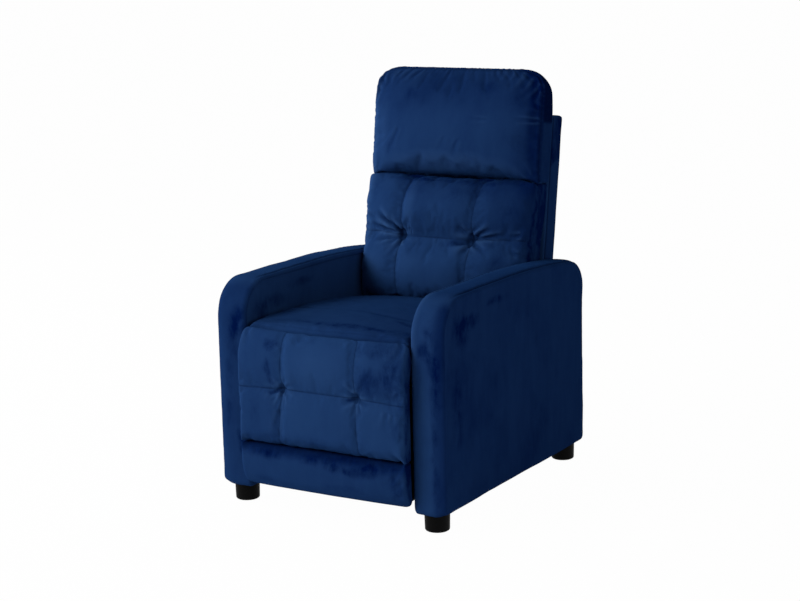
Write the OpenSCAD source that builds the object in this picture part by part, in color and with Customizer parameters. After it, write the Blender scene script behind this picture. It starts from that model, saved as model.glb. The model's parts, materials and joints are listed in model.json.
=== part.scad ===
// Push-back recliner: a chair between two arm boxes, with a seat carried on swing links,
// a back hinged at the seat's rear and a footrest on a folding pair of parallelograms.
// The chair faces -Y. While it is drawn, y = 0 is the front face of the arms.

/* [Overall] */
// Width over the arms
overall_w = 650; // [600:5:760]
// Height of the underside of the arms above the floor
foot_h = 48; // [40:1:70]

/* [Arms] */
// Thickness of one arm
arm_w = 81; // [75:1:100]
// Depth of the arms
arm_depth = 750; // [740:5:800]
// Height of the arms' flat top
arm_top = 568; // [550:1:590]
// Radius of the arm's upper front corner
arm_front_r = 90; // [60:1:110]
// Radius of the arm's upper rear corner
arm_rear_r = 68; // [40:1:90]
// Radius of the slow fall along the top of the arm
arm_fall_r = 3100; // [2600:50:3600]
// Where the top of the arm starts to fall
arm_fall_y = 330; // [280:5:380]
// Roundness of the arm's long edges
arm_edge_r = 10; // [6:1:14]
// Thickness of the fabric and padding on the arms
cover_t = 8; // [6:1:10]
// Width of the timber in the arm frame
timber_w = 55; // [45:1:60]

/* [Seat] */
// Height of the seat cushion's side line at its highest
seat_top = 470; // [460:1:480]
// Crown of the seat over its side line
seat_crown = 14; // [6:1:18]
// Radius of the dish of the seat from front to back
seat_dish_r = 2170; // [1800:10:2600]
// How far the seat cushion stops in front of the back's hinge
seat_rear_gap = 54; // [48:1:70]

/* [Back] */
// Lean of the upright back, in degrees
back_lean = 9; // [6:0.5:10]
// Rear face of the back, at the height of its hinge, in from the arms' rear
back_inset = 30; // [26:1:34]
// Thickness of the upholstered back panel
back_t = 63; // [60:1:66]
// Height of the back panel above its hinge, along its lean
back_h = 627; // [560:1:680]
// Gap between the back panel and each arm
back_side_gap = 4; // [3:0.5:8]
// Top of the head cushion above the hinge, along the lean
head_top = 740; // [700:1:780]

/* [Footrest] */
// Gap between the footrest pad and each arm's inner face
pad_side_gap = 6; // [4:0.5:12]
// Height of the lower edge of the footrest
pad_low = 62; // [60:1:80]
// Height of the fold between the pad and its lower lip
pad_fold = 178; // [165:1:190]
// Height of the cross seam with the tufts
pad_seam = 320; // [310:1:330]
// Distance of each tuft from the middle, as a share of half the pad's width
tuft_share = 0.45; // [0.35:0.01:0.55]
// Depth of the pad at its seams
pad_t = 37; // [32:1:42]
// Swell of the pad between its seams
pad_swell = 16; // [8:1:20]

/* [Feet] */
// Radius of a foot at its top
foot_r = 31.5; // [26:0.5:34]
// Radius of a foot at the floor
foot_low_r = 30.5; // [24:0.5:33]

/* [Mechanism] */
// Thickness of a link
link_t = 3; // [2.5:0.1:3.2]
// Gap between two layers of links
layer_gap = 1; // [0.8:0.1:1.2]
// Half width of a link
link_r = 11; // [10:0.5:12]
// Radius of the rivets the links turn on
pin_r = 4; // [3:0.25:5]
// Length of the swing links that carry the seat
swing_len = 100; // [90:1:104]

/* [Hidden] */

$fn = 48;
// Facets of the points that a hull is made from
soft_fn = 32;
shell_fn = 24;
// Thickness of a slice that only carries an outline
film = 0.02;
// Overrun of every cut
over = 2;
// Radial running fit of a rivet in a link
fit = 0.05;
// Radial clearance where a parallelogram closes
close_fit = 0.12;
// Radial clearance where the rod meets the long link, and where the control link meets the base
rod_play = 1.0;
control_play = 0.8;
// Clearance between two soft pieces, and between a soft piece and timber
soft_gap = 0.4;

full_turn = 360;
half_w = overall_w / 2;
gap_half = half_w - arm_w;
back_half = gap_half - back_side_gap;
back_rear_y = arm_depth - back_inset;
pad_half = gap_half - pad_side_gap;
tuft_x = tuft_share * pad_half;
velvet = [0.07, 0.16, 0.36];
timber = [0.78, 0.65, 0.46];
steel = [0.33, 0.34, 0.36];
zinc = [0.72, 0.73, 0.75];

// Layers of the mechanism, counted outwards from the seat
rivet_head_t = 1.8;
rivet_head_r = 7;
spacer_r = 8;
base_plate_t = 3.5;
layer3 = gap_half - base_plate_t - link_t - 3.5 * layer_gap;
layer2 = layer3 - link_t - layer_gap;
layer1 = layer2 - link_t - layer_gap;
seat_plate_x = layer1 - link_t - layer_gap;

// Pivots of the mechanism at rest, as [y, z]
swing_lean = 30;
base_pivot_z = 175;
front_base_pivot = [300, base_pivot_z];
hinge_inset = 110;
back_hinge = [back_rear_y - hinge_inset, 300];
rear_pivot_inset = 130;
rear_base_pivot = [back_hinge[0] - rear_pivot_inset, base_pivot_z];
swing_reach = swing_len * [sin(swing_lean), cos(swing_lean)];
front_seat_pivot = front_base_pivot + swing_reach;
rear_seat_pivot = rear_base_pivot + swing_reach;
control_base_step = [-54.5, -220];
control_back_step = [12, -46.5];
control_base = back_hinge + control_base_step;
control_back = back_hinge + control_back_step;
footrest_centre = [-66, 475];
long_reach = [100, -190];
carrier_reach = [-116, 130];
foot_drop = [0, -70];
pair_step = [43, -13];
long_pivot = footrest_centre - carrier_reach;
short_pivot = long_pivot + pair_step;
long_end = long_pivot + long_reach;
short_end = short_pivot + long_reach;
foot_pivot = long_end + foot_drop;
board_upper = long_end + carrier_reach;
board_lower = foot_pivot + carrier_reach;
drive_ear = [-24.8, -10.7];
drive_front = long_pivot + drive_ear;
drive_lever = [-25.3, 23.9];
drive_rear = front_seat_pivot + drive_lever;

// Overall depth, from the crown of the pad to the top of the back's rear corner
back_edge_r = 10;
front_y = -(pad_t + pad_swell);
rear_y = back_rear_y - back_edge_r * cos(back_lean)
       + (back_h - back_edge_r) * sin(back_lean) + back_edge_r;
mid_y = (front_y + rear_y) / 2;

// Puts y = 0 at the middle of the whole chair
module place() { translate([0, -mid_y, 0]) children(); }
// Lays a profile drawn in y and z on its side, t thick, from x outwards
module from_x(x, t) { translate([x, 0, 0]) rotate([90, 0, 90]) linear_extrude(t) children(); }
// The same piece on the left or on the right
module side(s) { mirror([s < 0 ? 1 : 0, 0, 0]) children(); }
module both() { side(1) children(); side(-1) children(); }
// A round bar along x at a pivot
module pin(p, x, t, r) { translate([x, p[0], p[1]]) rotate([0, 90, 0]) cylinder(r = r, h = t); }
// Frame of the leaning back: y = 0 on its rear face, z up along it from the hinge
module lean() { translate([0, back_rear_y, back_hinge[1]]) rotate([-back_lean, 0, 0]) children(); }
function leaned(p) = [back_rear_y + p[0] * cos(back_lean) + p[1] * sin(back_lean),
                      back_hinge[1] - p[0] * sin(back_lean) + p[1] * cos(back_lean)];

// Outline of an arm in y and z, drawn in by d, with its lower edge at low
arm_fall_cz = arm_top - arm_fall_r;
arm_rear_cy = arm_depth - arm_rear_r;
arm_rear_cz = arm_fall_cz + sqrt(pow(arm_fall_r - arm_rear_r, 2) - pow(arm_rear_cy - arm_fall_y, 2));
arm_fall_turn = atan2(arm_rear_cy - arm_fall_y, arm_rear_cz - arm_fall_cz);
arm_front_steps = 10;
arm_fall_steps = 4;
arm_rear_steps = 8;
arm_low_r = 12;
function arc(c, r, a, b, n) = [for (i = [0:n]) c + r * [cos(a + (b - a) * i / n), sin(a + (b - a) * i / n)]];
function arm_outline(d, low) = concat(
    arc([d + arm_low_r, low + arm_low_r], arm_low_r, 270, 180, 3),
    arc([arm_front_r, arm_top - arm_front_r], arm_front_r - d, 180, 90, arm_front_steps),
    arc([arm_fall_y, arm_fall_cz], arm_fall_r - d, 90, 90 - arm_fall_turn, arm_fall_steps),
    arc([arm_rear_cy, arm_rear_cz], arm_rear_r - d, 90 - arm_fall_turn, 0, arm_rear_steps),
    arc([arm_depth - d - arm_low_r, low + arm_low_r], arm_low_r, 0, -90, 3));

// Link made of straight bars between points, a little narrower than the round eye at each
waist_share = 0.86;
module bars(points, r) {
    w = r * waist_share;
    for (p = points) translate(p) circle(r);
    for (i = [0:len(points) - 2]) {
        run = points[i + 1] - points[i];
        translate(points[i]) rotate(atan2(run[1], run[0])) translate([0, -w]) square([norm(run), 2 * w]);
    }
}
module link(points, r, x, holes, hole_r) {
    difference() {
        from_x(x, link_t) bars(points, r);
        for (i = [0:len(holes) - 1]) pin(holes[i], x - over, link_t + 2 * over, hole_r[i]);
    }
}

// Rivet from x outwards over a length, with its head beyond that
module rivet(p, x, length) {
    pin(p, x, length, pin_r);
    pin(p, x + length, rivet_head_t, rivet_head_r);
}
// Rivet whose head faces the seat
module inward_rivet(p, x, length) {
    pin(p, x, length, pin_r);
    pin(p, x - rivet_head_t, rivet_head_t, rivet_head_r);
}
rivet_slack = 0.2;

// Station i of a row with steps between each two lines: [place, share of the way across its panel]
function station(lines, steps, i) =
    let (k = min(floor(i / steps), len(lines) - 2), s = i / steps - k)
    [lines[k] + s * (lines[k + 1] - lines[k]), s];
puff_share = 0.6;
function puff(a, b) = pow(max(0, sin(180 * a)) * max(0, sin(180 * b)), puff_share);

// Cushion over a grid of panels. face and rear give a point for a place across, along and its puff.
module quilted(across, along, steps, face, rear, swell, swell_share) {
    nu = steps * (len(across) - 1);
    nv = steps * (len(along) - 1);
    n = (nu + 1) * (nv + 1);
    spots = [for (j = [0:nv]) for (i = [0:nu])
        let (a = station(across, steps, i), b = station(along, steps, j)) [a[0], b[0], puff(a[1], b[1])]];
    top = [for (s = spots) face(s[0], s[1], s[2])];
    low = [for (s = spots) rear(s[0], s[1], s[2])];
    rim = concat([for (i = [0:nu - 1]) i], [for (j = [0:nv - 1]) j * (nu + 1) + nu],
                 [for (i = [nu:-1:1]) nv * (nu + 1) + i], [for (j = [nv:-1:1]) j * (nu + 1)]);
    m = len(rim);
    centre = (top[0] + top[n - 1]) / 2;
    belt = [for (k = rim)
        let (p = top[k] + (low[k] - top[k]) * swell_share, d = [p[0] - centre[0], p[1] - centre[1]])
        [p[0] + swell * d[0] / norm(d), p[1] + swell * d[1] / norm(d), p[2]]];
    cells = [for (j = [0:nv - 1]) for (i = [0:nu - 1])
        let (a = j * (nu + 1) + i, b = a + nu + 1) [a, b, b + 1, a + 1]];
    polyhedron(
        points = concat(top, low, belt),
        faces = concat(
            [for (c = cells) each [[c[0], c[1], c[2]], [c[0], c[2], c[3]]]],
            [for (c = cells) each [[n + c[0], n + c[2], n + c[1]], [n + c[0], n + c[3], n + c[2]]]],
            [for (k = [0:m - 1])
                let (t = (k + 1) % m, a = rim[k], b = rim[t], p = 2 * n + k, q = 2 * n + t)
                each [[a, b, q], [a, q, p], [p, q, n + b], [p, n + b, n + a]]]),
        convexity = 6);
}
// The same cushion standing up, its face to the front
module standing() { rotate([90, 0, 0]) children(); }

// Arm cover: a padded skin over the timber, open underneath
arm_edge_steps = 3;
bolt_r = 4;
bolt_head_r = 7;
bolt_head_t = 4;
bolt_in = 30;
rail_t = 22;
rail_low = 60;
front_rail_y = 216;
front_rail_h = 55;
skirt_t = 16;
skirt_inset = 4;
rear_rail_h = 130;
rear_skirt_y = arm_depth - skirt_t - skirt_inset;
rear_rail_y = rear_skirt_y - rail_t;
rail_bolt_inset = 20;
rail_bolts_at = [
    [front_rail_y + rail_t / 2, rail_low + rail_bolt_inset],
    [front_rail_y + rail_t / 2, rail_low + front_rail_h - rail_bolt_inset],
    [rear_rail_y + rail_t / 2, rail_low + rail_bolt_inset],
    [rear_rail_y + rail_t / 2, rail_low + rear_rail_h - rail_bolt_inset]];
plate_low = 62;
plate_h = 46;
plate_end_front = 28;
plate_end_rear = 34;
plate_bolt_inset_front = 60;
plate_bolt_inset_rear = 70;
plate_from_y = front_base_pivot[0] - plate_end_front;
plate_to_y = control_base[0] + plate_end_rear;
plate_bolt_z = plate_low + plate_h / 2;
plate_bolts_at = [[plate_from_y + plate_bolt_inset_front, plate_bolt_z],
                  [(plate_from_y + plate_to_y) / 2, plate_bolt_z],
                  [plate_to_y - plate_bolt_inset_rear, plate_bolt_z]];
arm_bolts_at = concat(rail_bolts_at, plate_bolts_at);

module arm_cover() {
    difference() {
        hull() for (i = [0:arm_edge_steps]) {
            turn = 90 * i / arm_edge_steps;
            inset = arm_edge_r * (1 - sin(turn));
            step = arm_edge_r * (1 - cos(turn));
            for (x = [gap_half + step, half_w - step - film])
                from_x(x, film) polygon(arm_outline(inset, foot_h));
        }
        from_x(gap_half + cover_t, arm_w - 2 * cover_t) polygon(arm_outline(cover_t, foot_h - arm_low_r - over));
        for (p = arm_bolts_at) pin(p, gap_half - over, cover_t + 2 * over, bolt_r + fit);
    }
}
module left_arm_cover() { color(velvet) place() side(1) arm_cover(); }
module right_arm_cover() { color(velvet) place() side(-1) arm_cover(); }

// Timber frame that fills the arm's cover at its edges
foot_inset_x = 44.1;
foot_front_y = 36;
foot_rear_inset = 32;
foot_rear_y = arm_depth - foot_rear_inset;
foot_x = half_w - foot_inset_x;
stud_r = 4;
stud_up = 26;
stud_down = 28;
frame_in = cover_t + soft_gap;
module arm_frame() {
    difference() {
        from_x(gap_half + frame_in, arm_w - 2 * frame_in) difference() {
            polygon(arm_outline(frame_in, foot_h));
            polygon(arm_outline(frame_in + timber_w, foot_h + timber_w));
        }
        for (p = arm_bolts_at) pin(p, gap_half, frame_in + bolt_in + fit, bolt_r + fit);
        for (y = [foot_front_y, foot_rear_y])
            translate([foot_x, y, foot_h - over]) cylinder(r = stud_r + fit, h = stud_up + over);
    }
}
module left_arm_frame() { color(timber) place() side(1) arm_frame(); }
module right_arm_frame() { color(timber) place() side(-1) arm_frame(); }

// Cross rails between the arms
rail_bolt_depth = 40;
module rail(y, h) {
    difference() {
        translate([-gap_half, y, rail_low]) cube([2 * gap_half, rail_t, h]);
        for (z = [rail_low + rail_bolt_inset, rail_low + h - rail_bolt_inset])
            both() pin([y + rail_t / 2, z], gap_half - rail_bolt_depth, rail_bolt_depth + over, bolt_r + fit);
    }
}
module front_rail() { color(timber) place() rail(front_rail_y, front_rail_h); }
module rear_rail() { color(timber) place() rail(rear_rail_y, rear_rail_h); }
module rail_bolts() {
    color(zinc) place() both() for (p = rail_bolts_at)
        pin(p, gap_half - rail_bolt_depth + over, rail_bolt_depth - over + frame_in + bolt_in - over, bolt_r);
}

// Upholstered panel that closes the rear between the arms
skirt_low = 56;
skirt_top = 318;
skirt_edge_r = 6;
module rear_skirt() {
    color(velvet) place() hull()
        for (x = [-1, 1]) for (z = [skirt_low + skirt_edge_r, skirt_top - skirt_edge_r])
            translate([x * (gap_half - soft_gap - skirt_edge_r), rear_skirt_y + soft_gap, z]) {
                rotate([-90, 0, 0]) cylinder(r = skirt_edge_r, h = skirt_t - skirt_edge_r, $fn = shell_fn);
                translate([0, skirt_t - skirt_edge_r, 0]) sphere(skirt_edge_r, $fn = shell_fn);
            }
}

// Steel plates on the arms' inner faces, with ears for the swing links
plate_ear_r = 16;
module base_plate() {
    difference() {
        from_x(gap_half - base_plate_t, base_plate_t) {
            translate([plate_from_y, plate_low]) square([plate_to_y - plate_from_y, plate_h]);
            for (p = [front_base_pivot, rear_base_pivot]) bars([[p[0], plate_low + plate_ear_r], p], plate_ear_r);
        }
        for (p = plate_bolts_at) pin(p, gap_half - base_plate_t - over, base_plate_t + 2 * over, bolt_r + fit);
        for (p = [front_base_pivot, rear_base_pivot, control_base])
            pin(p, gap_half - base_plate_t - over, base_plate_t + 2 * over, pin_r);
    }
}
module left_base_plate() { color(steel) place() side(1) base_plate(); }
module right_base_plate() { color(steel) place() side(-1) base_plate(); }
module plate_bolts() {
    color(zinc) place() both() for (p = plate_bolts_at) {
        pin(p, gap_half - base_plate_t, base_plate_t + frame_in + bolt_in - over, bolt_r);
        pin(p, gap_half - base_plate_t - bolt_head_t, bolt_head_t, bolt_head_r);
    }
}
module base_rivets() {
    plate_x = gap_half - base_plate_t;
    color(zinc) place() both() {
        for (p = [front_base_pivot, rear_base_pivot]) {
            inward_rivet(p, layer2 - rivet_slack, gap_half - layer2 + rivet_slack);
            pin(p, layer2 + link_t + rivet_slack, plate_x - layer2 - link_t - rivet_slack, spacer_r);
        }
        inward_rivet(control_base, layer3 - rivet_slack, gap_half - layer3 + rivet_slack);
        pin(control_base, layer3 + link_t + rivet_slack, plate_x - layer3 - link_t - rivet_slack, spacer_r);
    }
}

// Round feet on threaded studs
foot_edge_r = 5;
module feet() {
    color([0.05, 0.05, 0.05]) place() both() for (y = [foot_front_y, foot_rear_y])
        translate([foot_x, y, 0]) difference() {
            rotate_extrude() polygon(concat(
                [[0, 0]],
                arc([foot_low_r - foot_edge_r, foot_edge_r], foot_edge_r, -90, 0, 4),
                [[foot_r, foot_h], [0, foot_h]]));
            translate([0, 0, foot_h - stud_down]) cylinder(r = stud_r + fit, h = stud_down + over);
        }
}
module foot_screws() {
    color(zinc) place() both() for (y = [foot_front_y, foot_rear_y])
        translate([foot_x, y, foot_h - stud_down + over]) cylinder(r = stud_r, h = stud_up + stud_down - 2 * over);
}

// Timber frame of the seat, open in the middle under the springs
seat_frame_half = seat_plate_x;
seat_frame_y = 24;
seat_frame_inset = 35;
seat_frame_rear = back_hinge[0] - seat_frame_inset;
seat_frame_low = 300;
seat_frame_top = 350;
seat_rail_w = 46;
seat_screw_r = 2.5;
seat_screw_in = 24;
seat_screw_z = 332;
seat_screw_from = 215;
seat_screw_end = 20;
seat_screw_to = seat_frame_rear - seat_screw_end;
seat_screw_shares = [0, 0.25, 0.63, 1];
seat_screws_at = [for (s = seat_screw_shares) [seat_screw_from + (seat_screw_to - seat_screw_from) * s, seat_screw_z]];
module seat_frame() {
    color(timber) place() difference() {
        translate([-seat_frame_half, seat_frame_y, seat_frame_low])
            cube([2 * seat_frame_half, seat_frame_rear - seat_frame_y, seat_frame_top - seat_frame_low]);
        translate([seat_rail_w - seat_frame_half, seat_frame_y + seat_rail_w, seat_frame_low - over])
            cube([2 * (seat_frame_half - seat_rail_w), seat_frame_rear - seat_frame_y - 2 * seat_rail_w,
                  seat_frame_top - seat_frame_low + 2 * over]);
        for (p = seat_screws_at) both()
            pin(p, seat_frame_half - seat_screw_in - fit, seat_screw_in + over, seat_screw_r + fit);
        for (p = [short_pivot, long_pivot, back_hinge]) both()
            pin(p, seat_frame_half - over, 2 * over, pin_r + fit);
    }
}
module seat_screws() {
    color(zinc) place() both() for (p = seat_screws_at) {
        pin(p, seat_frame_half - seat_screw_in, seat_screw_in + link_t, seat_screw_r);
        pin(p, seat_frame_half + link_t, seat_screw_r, 2 * seat_screw_r);
    }
}

// Sinuous springs: each is one wire, swept along a wave whose turns lean past each other
spring_count = 4;
spring_waves = 9;
spring_rings = 8;
spring_sides = 6;
wire_r = 2;
wave_half = 26;
wave_lean = 5;
clip_len = 10;
clip_lap = 2;
clip_w = 16;
clip_h = 7;
spring_pitch_share = 0.396;
spring_pitch_x = spring_pitch_share * seat_frame_half;
spring_z = seat_frame_top + clip_h / 2;
spring_lap = 6;
spring_from = seat_frame_y + seat_rail_w - spring_lap;
spring_to = seat_frame_rear - seat_rail_w + spring_lap;
spring_tail = 14;
spring_turns = spring_waves * spring_rings;
function spring_point(i) =
    let (t = full_turn * i / spring_rings, run = spring_to - spring_from)
    [wave_half * sin(t), spring_from + run * i / spring_turns - wave_lean * sin(2 * t), spring_z];
spring_path = concat(
    [[0, spring_from - spring_tail, spring_z], [0, spring_from - spring_tail / 2, spring_z], [0, spring_from - wire_r, spring_z]],
    [for (i = [1:spring_turns - 1]) spring_point(i)],
    [[0, spring_to + wire_r, spring_z], [0, spring_to + spring_tail / 2, spring_z], [0, spring_to + spring_tail, spring_z]]);
function unit(v) = v / norm(v);
module swept(path, r, sides) {
    n = len(path);
    rings = [for (i = [0:n - 1])
        let (d = unit(path[min(i + 1, n - 1)] - path[max(i - 1, 0)]), s = unit(cross(d, [0, 0, 1])))
        for (k = [0:sides - 1]) let (t = full_turn * k / sides) path[i] + r * (cos(t) * s + sin(t) * [0, 0, 1])];
    polyhedron(
        points = rings,
        faces = concat(
            [[for (k = [0:sides - 1]) k]],
            [for (i = [0:n - 2]) for (k = [0:sides - 1])
                let (a = i * sides + k, b = i * sides + (k + 1) % sides) each [[a, a + sides, b + sides], [a, b + sides, b]]],
            [[for (k = [sides - 1:-1:0]) (n - 1) * sides + k]]),
        convexity = 10);
}
spring_gap = min([for (i = [0:len(spring_path) - 1]) for (j = [i + 6:1:len(spring_path) - 1])
    norm(spring_path[i] - spring_path[j])]) - 2 * wire_r;
echo(spring_gap = spring_gap);
module seat_springs() {
    color(zinc) place() for (k = [0:spring_count - 1])
        translate([(k - (spring_count - 1) / 2) * spring_pitch_x, 0, 0]) swept(spring_path, wire_r, spring_sides);
}
module spring_clips() {
    color(zinc) place() for (k = [0:spring_count - 1])
        for (y = [spring_from - spring_tail - clip_lap, spring_to + spring_tail + clip_lap - clip_len])
        translate([(k - (spring_count - 1) / 2) * spring_pitch_x, y, spring_z]) difference() {
            translate([-clip_w / 2, 0, -clip_h / 2]) cube([clip_w, clip_len, clip_h]);
            translate([0, -over, 0]) rotate([-90, 0, 0]) cylinder(r = wire_r + fit, h = clip_len + 2 * over);
        }
}

// Steel side plates of the seat
seat_plate_r = 14;
module seat_plate() {
    strip_low = seat_frame_low;
    strip_top = seat_frame_top;
    strip_middle = (strip_low + strip_top) / 2;
    difference() {
        from_x(seat_plate_x, link_t) {
            translate([short_pivot[0], strip_low]) square([back_hinge[0] - short_pivot[0], strip_top - strip_low]);
            bars([long_pivot, short_pivot, [short_pivot[0] + 2 * seat_plate_r, short_pivot[1]]], link_r);
            for (p = [front_seat_pivot, rear_seat_pivot])
                bars([p, [p[0], strip_middle]], seat_plate_r);
            bars([back_hinge, [back_hinge[0], strip_middle]], seat_plate_r);
        }
        for (p = [long_pivot, short_pivot, front_seat_pivot, rear_seat_pivot, back_hinge])
            pin(p, seat_plate_x - over, link_t + 2 * over, pin_r);
        for (p = seat_screws_at) pin(p, seat_plate_x - over, link_t + 2 * over, seat_screw_r + fit);
    }
}
module left_seat_plate() { color(steel) place() side(1) seat_plate(); }
module right_seat_plate() { color(steel) place() side(-1) seat_plate(); }
module seat_rivets() {
    color(zinc) place() both() {
        for (p = [long_pivot, short_pivot, back_hinge])
            rivet(p, seat_plate_x, layer1 + link_t + rivet_slack - seat_plate_x);
        for (p = [front_seat_pivot, rear_seat_pivot]) {
            rivet(p, seat_plate_x, layer2 + link_t + rivet_slack - seat_plate_x);
            pin(p, seat_plate_x + link_t, layer2 - rivet_slack - seat_plate_x - link_t, spacer_r);
        }
    }
}

// Seat cushion: crowned, drawn in towards its underside, with one seam across its top
seat_side_gap = 2;
seat_base = seat_frame_top + clip_h + soft_gap;
seat_half = gap_half - seat_side_gap;
seat_low_draw = 1;
seat_low_half = seat_plate_x - seat_low_draw;
seat_front_y = -20;
seat_low_lap = 4;
seat_low_front = seat_frame_y - seat_low_lap;
seat_rear_y = back_hinge[0] - seat_rear_gap;
seat_dish_run = 421;
seat_dish_y = seat_rear_y - seat_dish_run;
seat_lip = 30;
seat_lip_drop = 15;
seat_puff = 6;
seat_draw = 5;
seat_across_shares = [-1, 0, 1];
seat_along_shares = [0, 0.18, 1];
function seat_line(y) = seat_top - pow(y - seat_dish_y, 2) / (2 * seat_dish_r)
    - seat_lip_drop * pow(max(0, 1 - (y - seat_front_y) / seat_lip), 2);
module seat_cushion() {
    run = seat_rear_y - seat_front_y;
    low_run = seat_rear_y - seat_low_front;
    color(velvet) place() quilted(
        seat_across_shares, seat_along_shares, 8,
        function (a, b, p) let (y = seat_front_y + run * b)
            [a * (seat_half - seat_draw), y, seat_line(y) + seat_crown * (1 - a * a) + seat_puff * (p - 1) * (1 - pow(a, 8))],
        function (a, b, p) [a * seat_low_half, seat_low_front + low_run * b, seat_base],
        seat_draw / 2, 0.3);
}

// Timber frame of the back
back_low = -38;
frame_fit = 0.2;
web_gap = 0.3;
back_frame_half = layer1 - soft_gap;
back_frame_rear = -cover_t - frame_fit;
web_t = 2;
back_frame_t = back_t + back_frame_rear - web_t - web_gap;
back_frame_low = back_low + cover_t + frame_fit;
back_frame_top = back_h - cover_t - frame_fit;
back_post_w = 42;
back_rail_shares = [0, 0.385, 0.735, 1];
back_rails_at = [for (s = back_rail_shares) back_frame_low + (back_frame_top - back_post_w - back_frame_low) * s];
back_bolt_depth = 24;
back_bolt_set = 32;
back_bolt_low = 44;
back_bolt_high = 112;
back_bolts_at = [for (u = [back_bolt_low, back_bolt_high]) leaned([-back_bolt_set, u])];
module back_frame() {
    color(timber) place() difference() {
        lean() {
            for (x = [-back_frame_half, back_frame_half - back_post_w])
                translate([x, back_frame_rear - back_frame_t, back_frame_low])
                    cube([back_post_w, back_frame_t, back_frame_top - back_frame_low]);
            for (z = back_rails_at)
                translate([-back_frame_half, back_frame_rear - back_frame_t, z])
                    cube([2 * back_frame_half, back_frame_t, back_post_w]);
        }
        for (p = back_bolts_at) both()
            pin(p, back_frame_half - back_bolt_depth - fit, back_bolt_depth + over, seat_screw_r + fit);
    }
}
module back_bolts() {
    color(zinc) place() both() for (p = back_bolts_at) {
        pin(p, back_frame_half - back_bolt_depth, back_bolt_depth + layer1 + link_t - back_frame_half, seat_screw_r);
        pin(p, layer1 + link_t, seat_screw_r, 2 * seat_screw_r);
    }
}
// Upholstered shell round the back frame, open to the cushions
module back_shell() {
    r = back_edge_r;
    color(velvet) place() lean() difference() {
        hull() for (x = [-1, 1]) for (y = [-back_t + r, -r]) for (z = [back_low + r, back_h - r])
            translate([x * (back_half - r), y, z]) sphere(r, $fn = shell_fn);
        translate([cover_t - back_half, -back_t - over, back_low + cover_t])
            cube([2 * (back_half - cover_t), back_t - cover_t + over, back_h - back_low - 2 * cover_t]);
    }
}
// Webbing across the front of the frame
web_w = 50;
web_shares = [0.11, 0.24, 0.49, 0.62, 0.87, 0.97];
module back_webbing() {
    color([0.12, 0.12, 0.12]) place() lean() for (s = web_shares) let (z = (back_h - 2 * back_post_w) * s)
        translate([-back_frame_half, back_frame_rear - back_frame_t - web_t, z])
            cube([2 * back_frame_half, web_t, web_w]);
}

// Back cushions. Depths are measured forwards from the panel's rear face.
cushion_rear = back_t;
function rise(t, low, high) = (t - low) / (high - low);
// Share at t from a row of [place, share]
function at(t, row) = lookup(t, row);
function ridge(d, w) = exp(-pow(d / w, 2));
// Lumbar cushion: shares of its thickness up its side seams and up its middle
lumbar_side_gap = 1.5;
lumbar_half = gap_half - lumbar_side_gap;
lumbar_low = 119;
lumbar_high = 441;
lumbar_seam = 287;
lumbar_tuft_share = 0.466;
lumbar_tuft_x = lumbar_tuft_share * lumbar_half;
lumbar_t = 211;
lumbar_side_shares = [[0, 0.56], [0.27, 0.625], [0.47, 0.62], [0.65, 0.58], [0.8, 0.55], [1, 0.51]];
lumbar_middle_shares = [[0, 0.85], [0.09, 0.96], [0.2, 1.0], [0.32, 0.99], [0.45, 0.92], [0.52, 0.88],
                        [0.62, 0.9], [0.75, 0.89], [0.87, 0.8], [1, 0.62]];
lumbar_flank_power = 2.6;
lumbar_groove = 12;
lumbar_groove_w = 16;
lumbar_tuft_deep = 14;
lumbar_tuft_w = 32;
lumbar_rear_draw = 26;
lumbar_sag = 12;
lumbar_across = [-lumbar_half, -lumbar_tuft_x, lumbar_tuft_x, lumbar_half];
lumbar_along = [lumbar_low, lumbar_seam, lumbar_high];
function lumbar_face(a, b) =
    let (t = rise(b, lumbar_low, lumbar_high), u = abs(a) / lumbar_half, inside = 1 - pow(u, 8),
         side = at(t, lumbar_side_shares), middle = at(t, lumbar_middle_shares),
         off = abs(a) - lumbar_tuft_x, up = b - lumbar_seam)
    cushion_rear + lumbar_t * (side + (middle - side) * (1 - pow(u, lumbar_flank_power)))
    - inside * lumbar_groove * max(ridge(off, lumbar_groove_w), ridge(up, lumbar_groove_w))
    - lumbar_tuft_deep * ridge(off, lumbar_tuft_w) * ridge(up, lumbar_tuft_w);
// The lower edge follows the crown of the seat down towards the arms
function lumbar_drop(a, b) = lumbar_sag * pow(a / lumbar_half, 2) * (1 - rise(b, lumbar_low, lumbar_high));
module lumbar_cushion() {
    color(velvet) place() lean() standing() quilted(
        lumbar_across, lumbar_along, 6,
        function (a, b, p) [a, b - lumbar_drop(a, b), lumbar_face(a, b)],
        function (a, b, p) [a, b - lumbar_drop(a, b), cushion_rear + lumbar_rear_draw * pow(a / lumbar_half, 6)],
        0, 0.5);
}
// Head cushion: shares of its thickness up its side seams, up its middle and up the rear of its sides
head_overhang = 13;
head_half = gap_half + head_overhang;
head_low = 443;
head_t = 152;
head_corner_r = 44;
head_side_shares = [[0, 0.5], [0.1, 0.56], [0.3, 0.6], [0.6, 0.62], [0.8, 0.63], [0.93, 0.63], [1, 0.56]];
head_middle_shares = [[0, 0.7], [0.07, 0.87], [0.16, 0.96], [0.3, 1.0], [0.5, 1.0], [0.65, 0.96], [0.78, 0.87],
                      [0.88, 0.79], [0.95, 0.7], [1, 0.56]];
head_rear_shares = [[0, 0.17], [0.5, 0.17], [0.8, 0.22], [0.93, 0.25], [1, 0.3]];
head_rear_middle_shares = [[0, 0], [0.62, 0], [0.8, 0.06], [0.92, 0.14], [1, 0.3]];
head_flank_power = 3;
head_rows_at = [head_low, head_low + 0.8 * (head_top - head_low), head_top];
function head_width(b) = let (up = max(0, rise(b, head_top - head_corner_r, head_top)))
    head_half - head_corner_r * (1 - sqrt(max(0, 1 - up * up)));
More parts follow.
